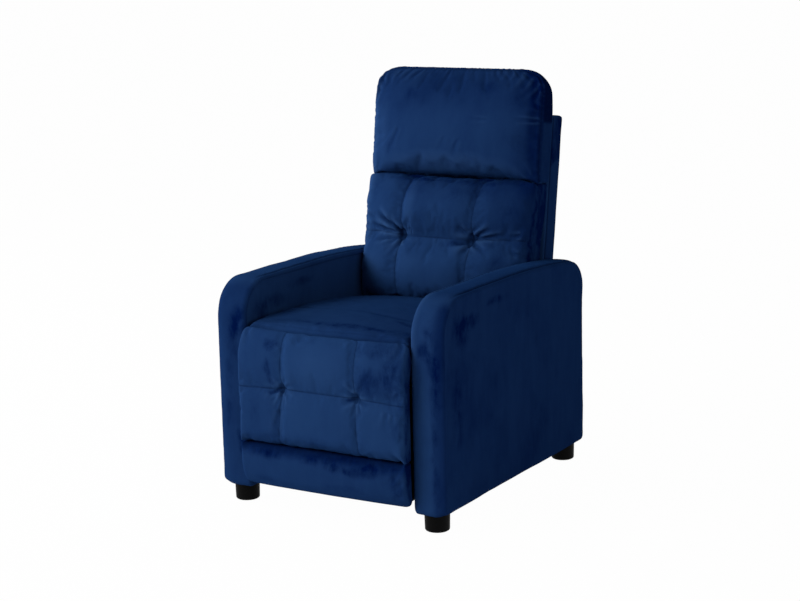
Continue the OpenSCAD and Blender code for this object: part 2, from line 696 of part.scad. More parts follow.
module head_cushion() {
    color(velvet) place() lean() standing() quilted(
        [-1, 0, 1], head_rows_at, 8,
        function (a, b, p) let (t = rise(b, head_low, head_top), side = at(t, head_side_shares),
                                middle = at(t, head_middle_shares))
            [a * head_width(b), b, cushion_rear + head_t * (side + (middle - side) * (1 - pow(abs(a), head_flank_power)))],
        function (a, b, p) let (t = rise(b, head_low, head_top), side = at(t, head_rear_shares),
                                middle = at(t, head_rear_middle_shares))
            [a * head_width(b), b, cushion_rear + head_t * (middle + (side - middle) * pow(a, 6))],
        0, 0.5);
}

// Steel brackets that carry the back on its hinge
module back_bracket() {
    link([control_back, back_hinge, back_bolts_at[0], back_bolts_at[1]], link_r, layer1,
         [control_back, back_hinge, back_bolts_at[0], back_bolts_at[1]],
         [pin_r, pin_r + fit, seat_screw_r + fit, seat_screw_r + fit]);
}
module left_back_bracket() { color(steel) place() side(1) back_bracket(); }
module right_back_bracket() { color(steel) place() side(-1) back_bracket(); }
module back_rivets() {
    color(zinc) place() both() {
        rivet(control_back, layer1, layer3 + link_t + rivet_slack - layer1);
        pin(control_back, layer1 + link_t, layer3 - rivet_slack - layer1 - link_t, spacer_r);
    }
}

// Footrest: board, tufted pad and lower lip
board_t = 16;
board_low = 66;
board_top = 355;
board_half = layer1 + link_t;
board_side_draw = 1;
board_corner_r = 24;
foot_screw_r = 2.5;
foot_screw_len = 11;
flange_w = 34;
flange_end = 18;
foot_screw_inset = 14;
flange_low = board_lower[1] - flange_end;
flange_top = board_upper[1] + flange_end;
foot_screw_x = board_half - flange_w / 2;
foot_screws_z = [flange_low + foot_screw_inset, (flange_low + flange_top) / 2, flange_top - foot_screw_inset];
module footrest_board() {
    edge = pad_half - board_side_draw;
    corner = edge - board_corner_r;
    color(timber) place() difference() {
        translate([0, board_t, 0]) rotate([90, 0, 0]) linear_extrude(board_t - soft_gap) {
            for (x = [-corner, corner]) translate([x, board_low + board_corner_r]) circle(board_corner_r);
            translate([-corner, board_low]) square([2 * corner, board_top - board_low]);
            translate([-edge, board_low + board_corner_r]) square([2 * edge, board_top - board_low - board_corner_r]);
        }
        for (z = foot_screws_z) both() translate([foot_screw_x, board_t + over, z]) rotate([90, 0, 0])
            cylinder(r = foot_screw_r + fit, h = foot_screw_len + over + fit);
    }
}
module footrest_screws() {
    color(zinc) place() for (z = foot_screws_z) both() translate([foot_screw_x, 0, z]) {
        translate([0, board_t + link_t, 0]) rotate([90, 0, 0]) cylinder(r = foot_screw_r, h = foot_screw_len + link_t);
        translate([0, board_t + link_t + foot_screw_r, 0]) rotate([90, 0, 0]) cylinder(r = 2 * foot_screw_r, h = foot_screw_r);
    }
}
module footrest_bracket() {
    difference() {
        union() {
            from_x(layer1, link_t) {
                bars([board_lower, board_upper], link_r);
                translate([board_t, flange_low]) square([board_upper[0] - board_t, flange_top - flange_low]);
            }
            translate([board_half - flange_w, board_t, flange_low]) cube([flange_w, link_t, flange_top - flange_low]);
        }
        for (p = [board_upper, board_lower]) pin(p, layer1 - over, link_t + 2 * over, pin_r);
        for (z = foot_screws_z) translate([foot_screw_x, board_t + link_t + over, z]) rotate([90, 0, 0])
            cylinder(r = foot_screw_r + fit, h = link_t + 2 * over);
    }
}
module left_footrest_bracket() { color(steel) place() side(1) footrest_bracket(); }
module right_footrest_bracket() { color(steel) place() side(-1) footrest_bracket(); }
module footrest_rivets() {
    color(zinc) place() both() for (p = [board_upper, board_lower])
        rivet(p, layer1, layer2 + link_t + rivet_slack - layer1);
}
pad_head = 456;
pad_head_t = 28;
pad_rear_top = 395;
pad_rear_lean = 12;
pad_side_draw = 2;
pad_across = [-pad_half, -tuft_x, tuft_x, pad_half];
pad_along = [pad_fold, pad_seam, pad_head];
tuft_depth = 10;
tuft_reach = 34;
function dimple(a, b, x, z) = tuft_depth * exp(-(pow(abs(a) - x, 2) + pow(b - z, 2)) / pow(tuft_reach, 2));
module footrest_pad() {
    color(velvet) place() standing() quilted(
        pad_across, pad_along, 6,
        function (a, b, p) [a - sign(a) * pad_side_draw * pow(a / pad_half, 8), b,
            pad_t + pad_swell * p - dimple(a, b, tuft_x, pad_seam) * (1 - p)
            - (pad_t - pad_head_t) * pow(max(0, rise(b, pad_seam, pad_head)), 3)],
        function (a, b, p) let (up = max(0, rise(b, pad_seam, pad_head)))
            [a, b - (pad_head - pad_rear_top) * up, pad_rear_lean * pow(up, 2)],
        pad_side_draw / 2, 0.5);
}
fold_gap = 4;
lip_top = pad_fold - fold_gap;
lip_corner_r = 28;
lip_edge_t = 14;
lip_swell = 16;
module footrest_lip() {
    function half_at(b) = let (d = max(0, 1 - (b - pad_low) / lip_corner_r))
        pad_half - lip_corner_r * (1 - sqrt(max(0, 1 - d * d)));
    color(velvet) place() standing() quilted(
        [-1, 1], [pad_low, lip_top], 10,
        function (a, b, p) let (t = rise(b, pad_low, lip_top))
            [a * (half_at(b) - pad_side_draw), b, lip_edge_t + (pad_t - lip_edge_t) * pow(t, 0.5) + lip_swell * p],
        function (a, b, p) [a * (half_at(b) - pad_side_draw), b, 0],
        pad_side_draw / 2, 0.5);
}

// Links of the footrest
rod_draw = 2;
rod_r = link_r - rod_draw;
module long_link() {
    holes = [drive_front, long_pivot, long_end, foot_pivot];
    hole_r = [pin_r, pin_r + fit, pin_r, pin_r];
    difference() {
        from_x(layer1, link_t) {
            bars([long_pivot, long_end, foot_pivot], link_r);
            bars([drive_front, long_pivot], rod_r - soft_gap);
        }
        for (i = [0:len(holes) - 1]) pin(holes[i], layer1 - over, link_t + 2 * over, hole_r[i]);
    }
}
module left_long_link() { color(steel) place() side(1) long_link(); }
module right_long_link() { color(steel) place() side(-1) long_link(); }
module long_link_rivets() {
    color(zinc) place() both() {
        for (p = [long_end, foot_pivot]) rivet(p, layer1, layer2 + link_t + rivet_slack - layer1);
        rivet(drive_front, layer1, layer3 + link_t + rivet_slack - layer1);
        pin(drive_front, layer1 + link_t, layer3 - rivet_slack - layer1 - link_t, spacer_r - rod_draw);
    }
}
module short_link() {
    link([short_pivot, short_end], link_r, layer1, [short_pivot, short_end], [pin_r + fit, pin_r]);
}
module left_short_link() { color(steel) place() side(1) short_link(); }
module right_short_link() { color(steel) place() side(-1) short_link(); }
module short_link_rivets() {
    color(zinc) place() both() rivet(short_end, layer1, layer2 + link_t + rivet_slack - layer1);
}
module carrier_link() {
    link([short_end, long_end, board_upper], link_r, layer2,
         [short_end, long_end, board_upper], [pin_r + close_fit, pin_r + fit, pin_r + fit]);
}
module left_carrier_link() { color(steel) place() side(1) carrier_link(); }
module right_carrier_link() { color(steel) place() side(-1) carrier_link(); }
module foot_link() {
    link([foot_pivot, board_lower], link_r, layer2, [foot_pivot, board_lower], [pin_r + fit, pin_r + close_fit]);
}
module left_foot_link() { color(steel) place() side(1) foot_link(); }
module right_foot_link() { color(steel) place() side(-1) foot_link(); }

// Links that carry the seat
module front_swing() {
    link([front_base_pivot, front_seat_pivot, drive_rear], link_r, layer2,
         [front_base_pivot, front_seat_pivot, drive_rear], [pin_r + fit, pin_r + close_fit, pin_r]);
}
module left_front_swing() { color(steel) place() side(1) front_swing(); }
module right_front_swing() { color(steel) place() side(-1) front_swing(); }
module rear_swing() {
    link([rear_base_pivot, rear_seat_pivot], link_r, layer2,
         [rear_base_pivot, rear_seat_pivot], [pin_r + fit, pin_r + fit]);
}
module left_rear_swing() { color(steel) place() side(1) rear_swing(); }
module right_rear_swing() { color(steel) place() side(-1) rear_swing(); }
tube_r = 9;
tube_wall = 1.5;
module cross_tube() {
    middle = (front_base_pivot + front_seat_pivot) / 2;
    color(steel) place() difference() {
        pin(middle, -layer2, 2 * layer2, tube_r);
        pin(middle, -layer2 - over, 2 * layer2 + 2 * over, tube_r - tube_wall);
    }
}
module swing_rivets() {
    color(zinc) place() both() rivet(drive_rear, layer2, layer3 + link_t + rivet_slack - layer2);
}
module drive_rod() {
    link([drive_rear, drive_front], rod_r, layer3, [drive_rear, drive_front], [pin_r + fit, pin_r + rod_play]);
}
module left_drive_rod() { color(steel) place() side(1) drive_rod(); }
module right_drive_rod() { color(steel) place() side(-1) drive_rod(); }
module control_link() {
    link([control_back, control_base], link_r, layer3, [control_back, control_base], [pin_r + fit, pin_r + control_play]);
}
module left_control_link() { color(steel) place() side(1) control_link(); }
module right_control_link() { color(steel) place() side(-1) control_link(); }

left_arm_cover();
right_arm_cover();
left_arm_frame();
right_arm_frame();
front_rail();
rear_rail();
rear_skirt();
left_base_plate();
right_base_plate();
feet();
foot_screws();
plate_bolts();
rail_bolts();
base_rivets();
seat_frame();
seat_springs();
spring_clips();
left_seat_plate();
right_seat_plate();
seat_cushion();
seat_rivets();
seat_screws();
back_frame();
back_shell();
back_webbing();
lumbar_cushion();
head_cushion();
left_back_bracket();
right_back_bracket();
back_bolts();
back_rivets();
footrest_board();
footrest_pad();
footrest_lip();
left_footrest_bracket();
right_footrest_bracket();
footrest_screws();
footrest_rivets();
left_long_link();
right_long_link();
long_link_rivets();
left_short_link();
right_short_link();
short_link_rivets();
left_carrier_link();
right_carrier_link();
left_foot_link();
right_foot_link();
left_front_swing();
right_front_swing();
cross_tube();
swing_rivets();
left_rear_swing();
right_rear_swing();
left_drive_rod();
right_drive_rod();
left_control_link();
right_control_link();
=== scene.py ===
import json
import math

import bmesh
import bpy
import numpy as np
from mathutils import Matrix, Vector


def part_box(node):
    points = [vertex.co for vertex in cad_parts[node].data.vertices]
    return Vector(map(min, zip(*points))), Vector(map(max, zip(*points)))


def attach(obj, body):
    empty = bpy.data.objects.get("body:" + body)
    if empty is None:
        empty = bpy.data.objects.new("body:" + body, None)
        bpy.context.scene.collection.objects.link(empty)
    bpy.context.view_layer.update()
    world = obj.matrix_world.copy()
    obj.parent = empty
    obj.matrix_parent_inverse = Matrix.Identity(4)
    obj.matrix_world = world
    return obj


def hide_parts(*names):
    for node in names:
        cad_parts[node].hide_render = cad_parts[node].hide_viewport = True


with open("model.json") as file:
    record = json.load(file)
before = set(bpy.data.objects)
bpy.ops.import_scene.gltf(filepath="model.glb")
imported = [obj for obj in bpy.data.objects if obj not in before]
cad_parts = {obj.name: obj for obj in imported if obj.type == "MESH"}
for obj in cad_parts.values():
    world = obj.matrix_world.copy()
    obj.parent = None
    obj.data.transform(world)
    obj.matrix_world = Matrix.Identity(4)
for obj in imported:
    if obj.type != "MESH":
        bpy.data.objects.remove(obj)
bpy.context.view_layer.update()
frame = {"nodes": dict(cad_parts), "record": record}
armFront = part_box("left_arm_cover")[0].y  # front face of the arms, which the depths below start from
scene = bpy.context.scene
scene.view_settings.view_transform = "Standard"
print("frame loaded")


def onlyActive(obj):
    bpy.ops.object.select_all(action="DESELECT")
    obj.select_set(True)
    bpy.context.view_layer.objects.active = obj


def gridBox(name, cuts):
    # a cube cut into a grid, with its own number of cuts along each axis
    bpy.ops.object.select_all(action="DESELECT")
    bpy.ops.mesh.primitive_cube_add(size=2)
    obj = bpy.context.object
    obj.name = obj.data.name = name
    bpy.ops.object.mode_set(mode="EDIT")
    bpy.ops.mesh.select_mode(type="EDGE")
    for axis, count in enumerate(cuts):
        bpy.ops.mesh.select_all(action="DESELECT")
        bm = bmesh.from_edit_mesh(obj.data)
        for e in bm.edges:
            d = e.verts[1].co - e.verts[0].co
            e.select_set(abs(d[axis]) > 0.9 * d.length)
        bmesh.update_edit_mesh(obj.data)
        bpy.ops.mesh.subdivide(number_cuts=count)
    bpy.ops.object.mode_set(mode="OBJECT")
    return obj


def coords(obj):
    co = np.empty(len(obj.data.vertices) * 3)
    obj.data.vertices.foreach_get("co", co)
    return co.reshape(-1, 3)


def setCoords(obj, co):
    obj.data.vertices.foreach_set("co", np.ascontiguousarray(co, dtype=np.float64).ravel())
    obj.data.update()


def normals(obj):
    n = np.empty(len(obj.data.vertices) * 3)
    obj.data.vertices.foreach_get("normal", n)
    return n.reshape(-1, 3)


def shapedGrid(name, cuts, shape):
    # a cut cube moved into shape, which keeps the place of each point in the square pad for its seams
    obj = gridBox(name, cuts)
    rest, placed = shape(coords(obj))
    setCoords(obj, placed)
    attribute = obj.data.attributes.new("rest", "FLOAT_VECTOR", "POINT")
    attribute.data.foreach_set("vector", np.ascontiguousarray(rest, dtype=np.float32).ravel())
    return obj


def restOf(obj):
    v = np.empty(len(obj.data.vertices) * 3, np.float32)
    obj.data.attributes["rest"].data.foreach_get("vector", v)
    return v.reshape(-1, 3).astype(float)


def roundBox(p, half, r):
    # rounds the edges and corners of a box whose points are given as shares of its half sizes
    half = np.array(half, float)
    q = p * half
    inner = np.clip(q, -(half - r), half - r)
    d = q - inner
    length = np.linalg.norm(d, axis=1, keepdims=True)
    return np.where(length > 1e-9, inner + r * d / np.maximum(length, 1e-9), q)


def rise(x, a, b):
    # 0 at a, 1 at b and smooth between them
    t = np.clip((x - a) / (b - a), 0, 1)
    return t * t * (3 - 2 * t)


def softNoise(p, size, seed):
    # smooth noise from -1 to 1 over points in millimetres, which may be given by one or two places only
    p = np.pad(p, ((0, 0), (0, 3 - p.shape[1])))
    rng = np.random.default_rng(seed)
    table = rng.uniform(-1, 1, 4096)
    q = p / size + 100.5
    i = np.floor(q).astype(int)
    f = q - i
    f = f * f * (3 - 2 * f)
    total = 0
    for dx in (0, 1):
        for dy in (0, 1):
            for dz in (0, 1):
                w = (np.where(dx, f[:, 0], 1 - f[:, 0]) * np.where(dy, f[:, 1], 1 - f[:, 1])
                     * np.where(dz, f[:, 2], 1 - f[:, 2]))
                h = ((i[:, 0] + dx) * 73856093) ^ ((i[:, 1] + dy) * 19349663) ^ ((i[:, 2] + dz) * 83492791)
                total = total + w * table[h & 4095]
    return total


def flatRound(p, half, r):
    # a rounded box whose upper and lower edges are a third as round as its upright ones
    return roundBox(p, (half[0], half[1], half[2] * 3), r) / [1, 1, 3]


def rolledIn(t, u, height):
    # share by which a face is rolled in below a height, except near the two ends
    part = np.clip(1 - t / height, 0, 1)
    ends = np.clip((0.985 - u) / 0.06, 0, 1)
    return (1 - np.sqrt(1 - part**2)) * ends * ends * (3 - 2 * ends)


def cornerWidth(z, high, r, half):
    # share of the half width that is left where upper corners of radius r are rounded off
    upper = np.clip((z - high + r) / r, 0, 1)
    return 1 - r * (1 - np.sqrt(1 - upper**2)) / half


def ridge(d, width):
    return np.exp(-(d / width) ** 2)


def facing(rest, axis, half, sign=-1):
    # 1 on the face that is seen, falling to 0 round its edge
    return np.clip((rest[:, axis] * sign - half * 0.55) / (half * 0.3), 0, 1)


def spread(x, points):
    # smooth curve through a few [place, value] points
    xs, ys = np.array(points, float).T
    slopes = np.gradient(ys, xs)
    x = np.clip(x, xs[0], xs[-1])
    k = np.clip(np.searchsorted(xs, x, side="right") - 1, 0, len(xs) - 2)
    h = xs[k + 1] - xs[k]
    s = (x - xs[k]) / h
    return ((2 * s**3 - 3 * s**2 + 1) * ys[k] + (s**3 - 2 * s**2 + s) * h * slopes[k]
            + (3 * s**2 - 2 * s**3) * ys[k + 1] + (s**3 - s**2) * h * slopes[k + 1])


def lineGap(p, points):
    # distance from each point to a line of points, both flat, and how far along the line it is
    points = np.array(points, float)
    best = np.full(len(p), 1e9)
    along = np.zeros(len(p))
    run = 0
    for a, b in zip(points[:-1], points[1:]):
        step = b - a
        length = np.hypot(*step)
        t = np.clip(((p - a) @ step) / length**2, 0, 1)
        d = np.hypot(*(p - a - t[:, None] * step).T)
        nearer = d < best
        best = np.where(nearer, d, best)
        along = np.where(nearer, run + t * length, along)
        run += length
    return best, along


def foldDepth(p, folds):
    # folds are [x, y, x, y, depth, width]: a crease that fades out towards its second end,
    # with a soft lip on both sides
    total = np.zeros(len(p))
    for x0, y0, x1, y1, depth, width in folds:
        d, along = lineGap(p, [(x0, y0), (x1, y1)])
        t = along / math.hypot(x1 - x0, y1 - y0)
        fade = np.clip(t / 0.12, 0, 1) * np.clip(1 - t, 0, 1) ** 0.8
        wide = width * (1 + 0.8 * t)
        total += depth * fade * (ridge(d, wide) - 0.55 * ridge(d - 2.3 * wide, wide * 1.2))
    return total


def tuftFolds(x, y, seed, count=13, reach=(22, 58), depth=(1.2, 3.2)):
    # small gathers all round a tuft
    rng = np.random.default_rng(seed)
    folds = []
    for k in range(count):
        turn = 2 * math.pi * (k + rng.uniform(-0.3, 0.3)) / count
        long = rng.uniform(*reach)
        folds.append([x + 5 * math.cos(turn), y + 5 * math.sin(turn), x + long * math.cos(turn),
                      y + long * math.sin(turn), rng.uniform(*depth), rng.uniform(2.6, 4)])
    return folds


def seamFolds(points, seed, gap, reach, depth, side=(1, -1)):
    # short gathers that leave a seam on one side or both
    rng = np.random.default_rng(seed)
    points = np.array(points, float)
    steps = np.hypot(*np.diff(points, axis=0).T)
    run = np.concatenate([[0], np.cumsum(steps)])
    folds = []
    at = rng.uniform(0, gap)
    while at < run[-1]:
        k = min(np.searchsorted(run, at, side="right") - 1, len(steps) - 1)
        way = (points[k + 1] - points[k]) / steps[k]
        start = points[k] + way * (at - run[k])
        out = np.array([-way[1], way[0]]) * rng.choice(side)
        end = start + out * rng.uniform(*reach) + way * rng.uniform(-0.5, 0.5) * reach[1]
        folds.append([*start, *end, rng.uniform(*depth), rng.uniform(2.6, 4.2)])
        at += rng.uniform(0.6, 1.4) * gap
    return folds


def pressIn(obj, depth):
    # moves each point in along its normal
    setCoords(obj, coords(obj) - normals(obj) * (depth / 1000)[:, None])


def keepShade(obj, name, values):
    attribute = obj.data.attributes.new(name, "FLOAT", "POINT")
    attribute.data.foreach_set("value", np.clip(values, 0, 1).astype(np.float32))


def blots(p, spots):
    # soft patches for crushed pile, painted shade and painted highlight: [x, y, half width, half height,
    # turn, strength]
    total = np.zeros(len(p))
    q = p + 7 * np.stack([softNoise(p, 22, 5), softNoise(p, 22, 6)], axis=1)
    for x, y, a, b, turn, strength in spots:
        c, s = math.cos(math.radians(turn)), math.sin(math.radians(turn))
        dx, dy = q[:, 0] - x, q[:, 1] - y
        r = np.hypot((dx * c + dy * s) / a, (-dx * s + dy * c) / b)
        total += strength * np.clip(1.5 - r * 1.25, 0, 1)
    return total


def subdivided(obj):
    # cuts each face in four and gives the new points' places in the square pad
    onlyActive(obj)
    m = obj.modifiers.new("Subdivision", "SUBSURF")
    m.levels = m.render_levels = 1
    bpy.ops.object.modifier_apply(modifier=m.name)
    return restOf(obj)


clothRun = {"frames": 20, "quality": 5, "mass": 0.3, "bending": 0.5}


def swellCloth(obj, held, cloth):
    # lets the fabric swell over its filling by no more than the cap, held where it is sewn down
    start = coords(obj)
    group = obj.vertex_groups.new(name="held")
    for weight in np.unique(np.round(held[held > 0], 1)):
        group.add(np.nonzero(np.round(held, 1) == weight)[0].tolist(), float(weight), "REPLACE")
    onlyActive(obj)
    m = obj.modifiers.new("Cloth", "CLOTH")
    s = m.settings
    s.quality = clothRun["quality"]
    s.mass = clothRun["mass"]
    s.use_pressure = True
    s.uniform_pressure_force = cloth["pressure"]
    s.shrink_min = -cloth["looseness"]
    s.vertex_group_mass = "held"
    s.bending_stiffness = clothRun["bending"]
    s.effector_weights.gravity = 0
    m.collision_settings.use_collision = False
    m.point_cache.frame_end = clothRun["frames"]
    for f in range(1, clothRun["frames"] + 1):
        scene.frame_set(f)
    bpy.ops.object.modifier_apply(modifier=m.name)
    moved = coords(obj) - start
    far = np.linalg.norm(moved, axis=1, keepdims=True)
    setCoords(obj, start + moved * np.minimum(1, cloth["cap"] / np.maximum(far, 1e-9)))
    scene.frame_set(1)
    obj.vertex_groups.clear()


def finishPad(obj, body, node):
    onlyActive(obj)
    bpy.ops.object.shade_smooth()
    obj.data.materials.clear()
    obj.data.materials.append(blueVelvet)
    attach(obj, body)
    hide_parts(node)


def upright(x, y, z):
    # from millimetres behind the arms' front face to metres
    return np.stack([x / 1000, y / 1000 + armFront, z / 1000], axis=1)


backRest = {"footY": 720, "footZ": 300, "lean": 9}  # foot of the panel's rear face


def leaned(x, depth, up):
    # a point of the leaning back: depth forwards from the panel's rear face, up along it from its foot
    lean = math.radians(backRest["lean"])
    y = backRest["footY"] - depth * math.cos(lean) + up * math.sin(lean)
    z = backRest["footZ"] + depth * math.sin(lean) + up * math.cos(lean)
    return upright(x, y, z)


def newMaterial(name):
    m = bpy.data.materials.new(name)
    m.use_nodes = True
    return m, m.node_tree, m.node_tree.nodes["Principled BSDF"]


def addNode(tree, kind, inputs, **settings):
    # each socket gets a fixed value, or a link from another node's output
    node = tree.nodes.new(kind)
    for name, value in settings.items():
        setattr(node, name, value)
    for socket, value in inputs.items():
        if isinstance(value, bpy.types.NodeSocket):
            tree.links.new(value, node.inputs[socket])
        else:
            node.inputs[socket].default_value = value
    return node


def objectPlace(tree):
    return addNode(tree, "ShaderNodeTexCoord", {}).outputs["Object"]


def stretched(tree, place, scale):
    return addNode(tree, "ShaderNodeMapping", {"Vector": place, "Scale": scale}).outputs["Vector"]


def attributeOf(tree, name):
    return addNode(tree, "ShaderNodeAttribute", {}, attribute_name=name).outputs["Fac"]


def noise(tree, place, scale, detail=3, rough=0.5, distortion=0.0):
    inputs = {"Vector": place, "Scale": scale, "Detail": detail, "Roughness": rough,
              "Distortion": distortion}
    return addNode(tree, "ShaderNodeTexNoise", inputs).outputs["Fac"]


def ramp(tree, value, stops):
    node = addNode(tree, "ShaderNodeValToRGB", {"Fac": value})
    while len(node.color_ramp.elements) < len(stops):
        node.color_ramp.elements.new(0.5)
    for e, (at, colour) in zip(node.color_ramp.elements, stops):
        e.position = at
        e.color = (*colour, 1)
    return node.outputs["Color"]


def between(tree, share, low, high):
    limits = {"Value": share, "To Min": low, "To Max": high}
    return addNode(tree, "ShaderNodeMapRange", limits).outputs["Result"]


def maths(tree, kind, a, b, clamp=False):
    return addNode(tree, "ShaderNodeMath", {0: a, 1: b}, operation=kind, use_clamp=clamp).outputs[0]


def mixed(tree, share, a, b):
    return addNode(tree, "ShaderNodeMix", {"Factor": share, 6: a, 7: b}, data_type="RGBA").outputs[2]


def bump(tree, height, strength, distance, under=None):
    inputs = {"Height": height, "Strength": strength, "Distance": distance}
    if under is not None:
        inputs["Normal"] = under
    return addNode(tree, "ShaderNodeBump", inputs).outputs["Normal"]


def giveTo(tree, shader, colour, roughness, normal):
    tree.links.new(colour, shader.inputs["Base Color"])
    tree.links.new(roughness, shader.inputs["Roughness"])
    tree.links.new(normal, shader.inputs["Normal"])


velvetLook = {
    # the darkest tone is crushed pile and also painted shade, the lightest is a painted highlight, and the
    # seam tone is the thread and also painted shade in creases and tufts
    "crushed": (0.0004, 0.0068, 0.054, 1), "brushed": (0.0145, 0.0485, 0.153, 1),
    "paintedHighlight": (0.034, 0.092, 0.245, 1), "stitchAndCreaseShade": (0.0008, 0.004, 0.022, 1), "stitchAndCreaseShare": 0.7,
    "sheen": (0.06, 0.32, 1.0, 1), "sheenWeight": 0.05, "sheenRoughness": 0.35,
    "brushedRoughness": 0.85, "crushedRoughness": 0.7,
    # sizes of the patterns, as scales of their noise
    "drift": 5.5, "patch": 30.0, "streak": 30.0, "ripple": 48, "pile": 900.0,
    # how far marks and noise have to add up before the pile lies flat, and how flat it gets
    "patchFrom": -0.12, "patchTo": 0.95, "patchMost": 0.78,
    "markNoise": 4.2, "plainNoise": 0.5, "streakDark": (0.08, 0.08, 0.08),
}


def velvet(name, look):
    m, tree, shader = newMaterial(name)
    place = objectPlace(tree)
    # crushed pile and painted shade: soft marks that noise breaks up, and a slow drift over everything
    marks = attributeOf(tree, "crushedPileAndShade")
    drift = noise(tree, place, look["drift"], 3, 0.5, 0.4)
    patch = noise(tree, stretched(tree, place, (1, 1, 0.5)), look["patch"], 9, 0.72, 0.3)
    wild = maths(tree, "ADD", maths(tree, "MULTIPLY", marks, look["markNoise"]), look["plainNoise"])
    broken = maths(tree, "MULTIPLY", maths(tree, "SUBTRACT", patch, 0.5), wild)
    slow = maths(tree, "SUBTRACT", drift, 0.5)
    total = maths(tree, "ADD", maths(tree, "ADD", marks, broken), slow)
    limits = {"Value": total, "From Min": look["patchFrom"], "From Max": look["patchTo"],
              "To Max": look["patchMost"]}
    patches = addNode(tree, "ShaderNodeMapRange", limits, interpolation_type="SMOOTHSTEP").outputs["Result"]
    # upright streaks, and painted shade on faces that turn away from the lamps
    streak = noise(tree, stretched(tree, place, (1, 1, 0.22)), look["streak"], 4, 0.6)
    streaks = ramp(tree, streak, [(0.35, look["streakDark"]), (0.62, (0, 0, 0))])
    crushedPileAndShade = maths(tree, "ADD", maths(tree, "ADD", patches, streaks), attributeOf(tree, "paintedShade"), True)
    colour = mixed(tree, crushedPileAndShade, look["brushed"], look["crushed"])
    # painted highlight on crests and on the edges nearest to the lamps
    colour = mixed(tree, attributeOf(tree, "paintedHighlight"), colour, look["paintedHighlight"])
    # seam thread, with painted shade in creases and tuft dimples
    stitchedAndShaded = maths(tree, "MULTIPLY", attributeOf(tree, "seamAndCreaseShade"), look["stitchAndCreaseShare"])
    colour = mixed(tree, stitchedAndShaded, colour, look["stitchAndCreaseShade"])
    ripples = bump(tree, noise(tree, place, look["ripple"], 3, 0.5), 0.22, 0.002)
    pile = bump(tree, noise(tree, place, look["pile"], 2, 0.6), 0.4, 0.0005, ripples)
    rough = between(tree, crushedPileAndShade, look["brushedRoughness"], look["crushedRoughness"])
    giveTo(tree, shader, colour, rough, pile)
    shader.inputs["Specular IOR Level"].default_value = 0
    shader.inputs["Sheen Weight"].default_value = look["sheenWeight"]
    shader.inputs["Sheen Roughness"].default_value = look["sheenRoughness"]
    shader.inputs["Sheen Tint"].default_value = look["sheen"]
    return m


def metal(name, colour, worn, roughness, metallic=1.0):
    m, tree, shader = newMaterial(name)
    place = objectPlace(tree)
    grain = noise(tree, place, 420, 2)
    grime = ramp(tree, noise(tree, place, 38, 4, 0.6), [(0.35, colour), (0.75, worn)])
    rough = between(tree, grain, roughness * 0.75, roughness * 1.3)
    giveTo(tree, shader, grime, rough, bump(tree, grain, 0.15, 0.0003))
    shader.inputs["Metallic"].default_value = metallic
    return m


def wood(name, dark, middle, light):
    m, tree, shader = newMaterial(name)
    rings = noise(tree, stretched(tree, objectPlace(tree), (1, 0.12, 1)), 34, 5, 0.65, 1.2)
    colour = ramp(tree, rings, [(0.3, dark), (0.5, middle), (0.72, light)])
    tree.links.new(colour, shader.inputs["Base Color"])
    tree.links.new(bump(tree, rings, 0.3, 0.0008), shader.inputs["Normal"])
    shader.inputs["Roughness"].default_value = 0.7
    return m


def plastic(name, colour, roughness):
    m, tree, shader = newMaterial(name)
    place = objectPlace(tree)
    grain = noise(tree, place, 700, 2, 0.6)
    smear = noise(tree, place, 24, 3)
    tint = ramp(tree, smear, [(0.3, colour), (0.8, tuple(c * 1.5 for c in colour))])
    rough = between(tree, smear, roughness - 0.08, roughness + 0.12)
    giveTo(tree, shader, tint, rough, bump(tree, grain, 0.2, 0.0003))
    shader.inputs["Specular IOR Level"].default_value = 0.04
    return m


def weave(name, thread, gap):
    m, tree, shader = newMaterial(name)
    threads = {"Vector": objectPlace(tree), "Scale": 450, "Color1": (*thread, 1), "Color2": (*gap, 1)}
    cloth = addNode(tree, "ShaderNodeTexChecker", threads)
    tree.links.new(cloth.outputs["Color"], shader.inputs["Base Color"])
    tree.links.new(bump(tree, cloth.outputs["Fac"], 1, 0.0004), shader.inputs["Normal"])
    shader.inputs["Roughness"].default_value = 0.85
    shader.inputs["Specular IOR Level"].default_value = 0.05
    return m


blueVelvet = velvet("blueVelvet", velvetLook)
finishes = {
    "blue_velvet": blueVelvet,
    "timber": wood("timberFrame", (0.36, 0.22, 0.11), (0.55, 0.38, 0.21), (0.66, 0.49, 0.30)),
    "black_plastic": plastic("blackPlasticFeet", (0.002, 0.002, 0.0021), 0.5),
    "dust_cloth": weave("blackDustCloth", (0.001, 0.001, 0.0012), (0.002, 0.002, 0.0023)),
    "webbing": weave("blackWebbing", (0.018, 0.018, 0.019), (0.035, 0.035, 0.037)),
    "zinc_steel": metal("zincSteel", (0.50, 0.51, 0.53), (0.62, 0.63, 0.64), 0.34),
    "black_steel": metal("blackSteel", (0.018, 0.018, 0.02), (0.05, 0.05, 0.052), 0.42, 0.6),
}
for part in frame["record"]["subparts"]:
    node = frame["nodes"][part["node"]]
    node.data.materials.clear()
    node.data.materials.append(finishes[part["material_slot"]])
print("materials made")

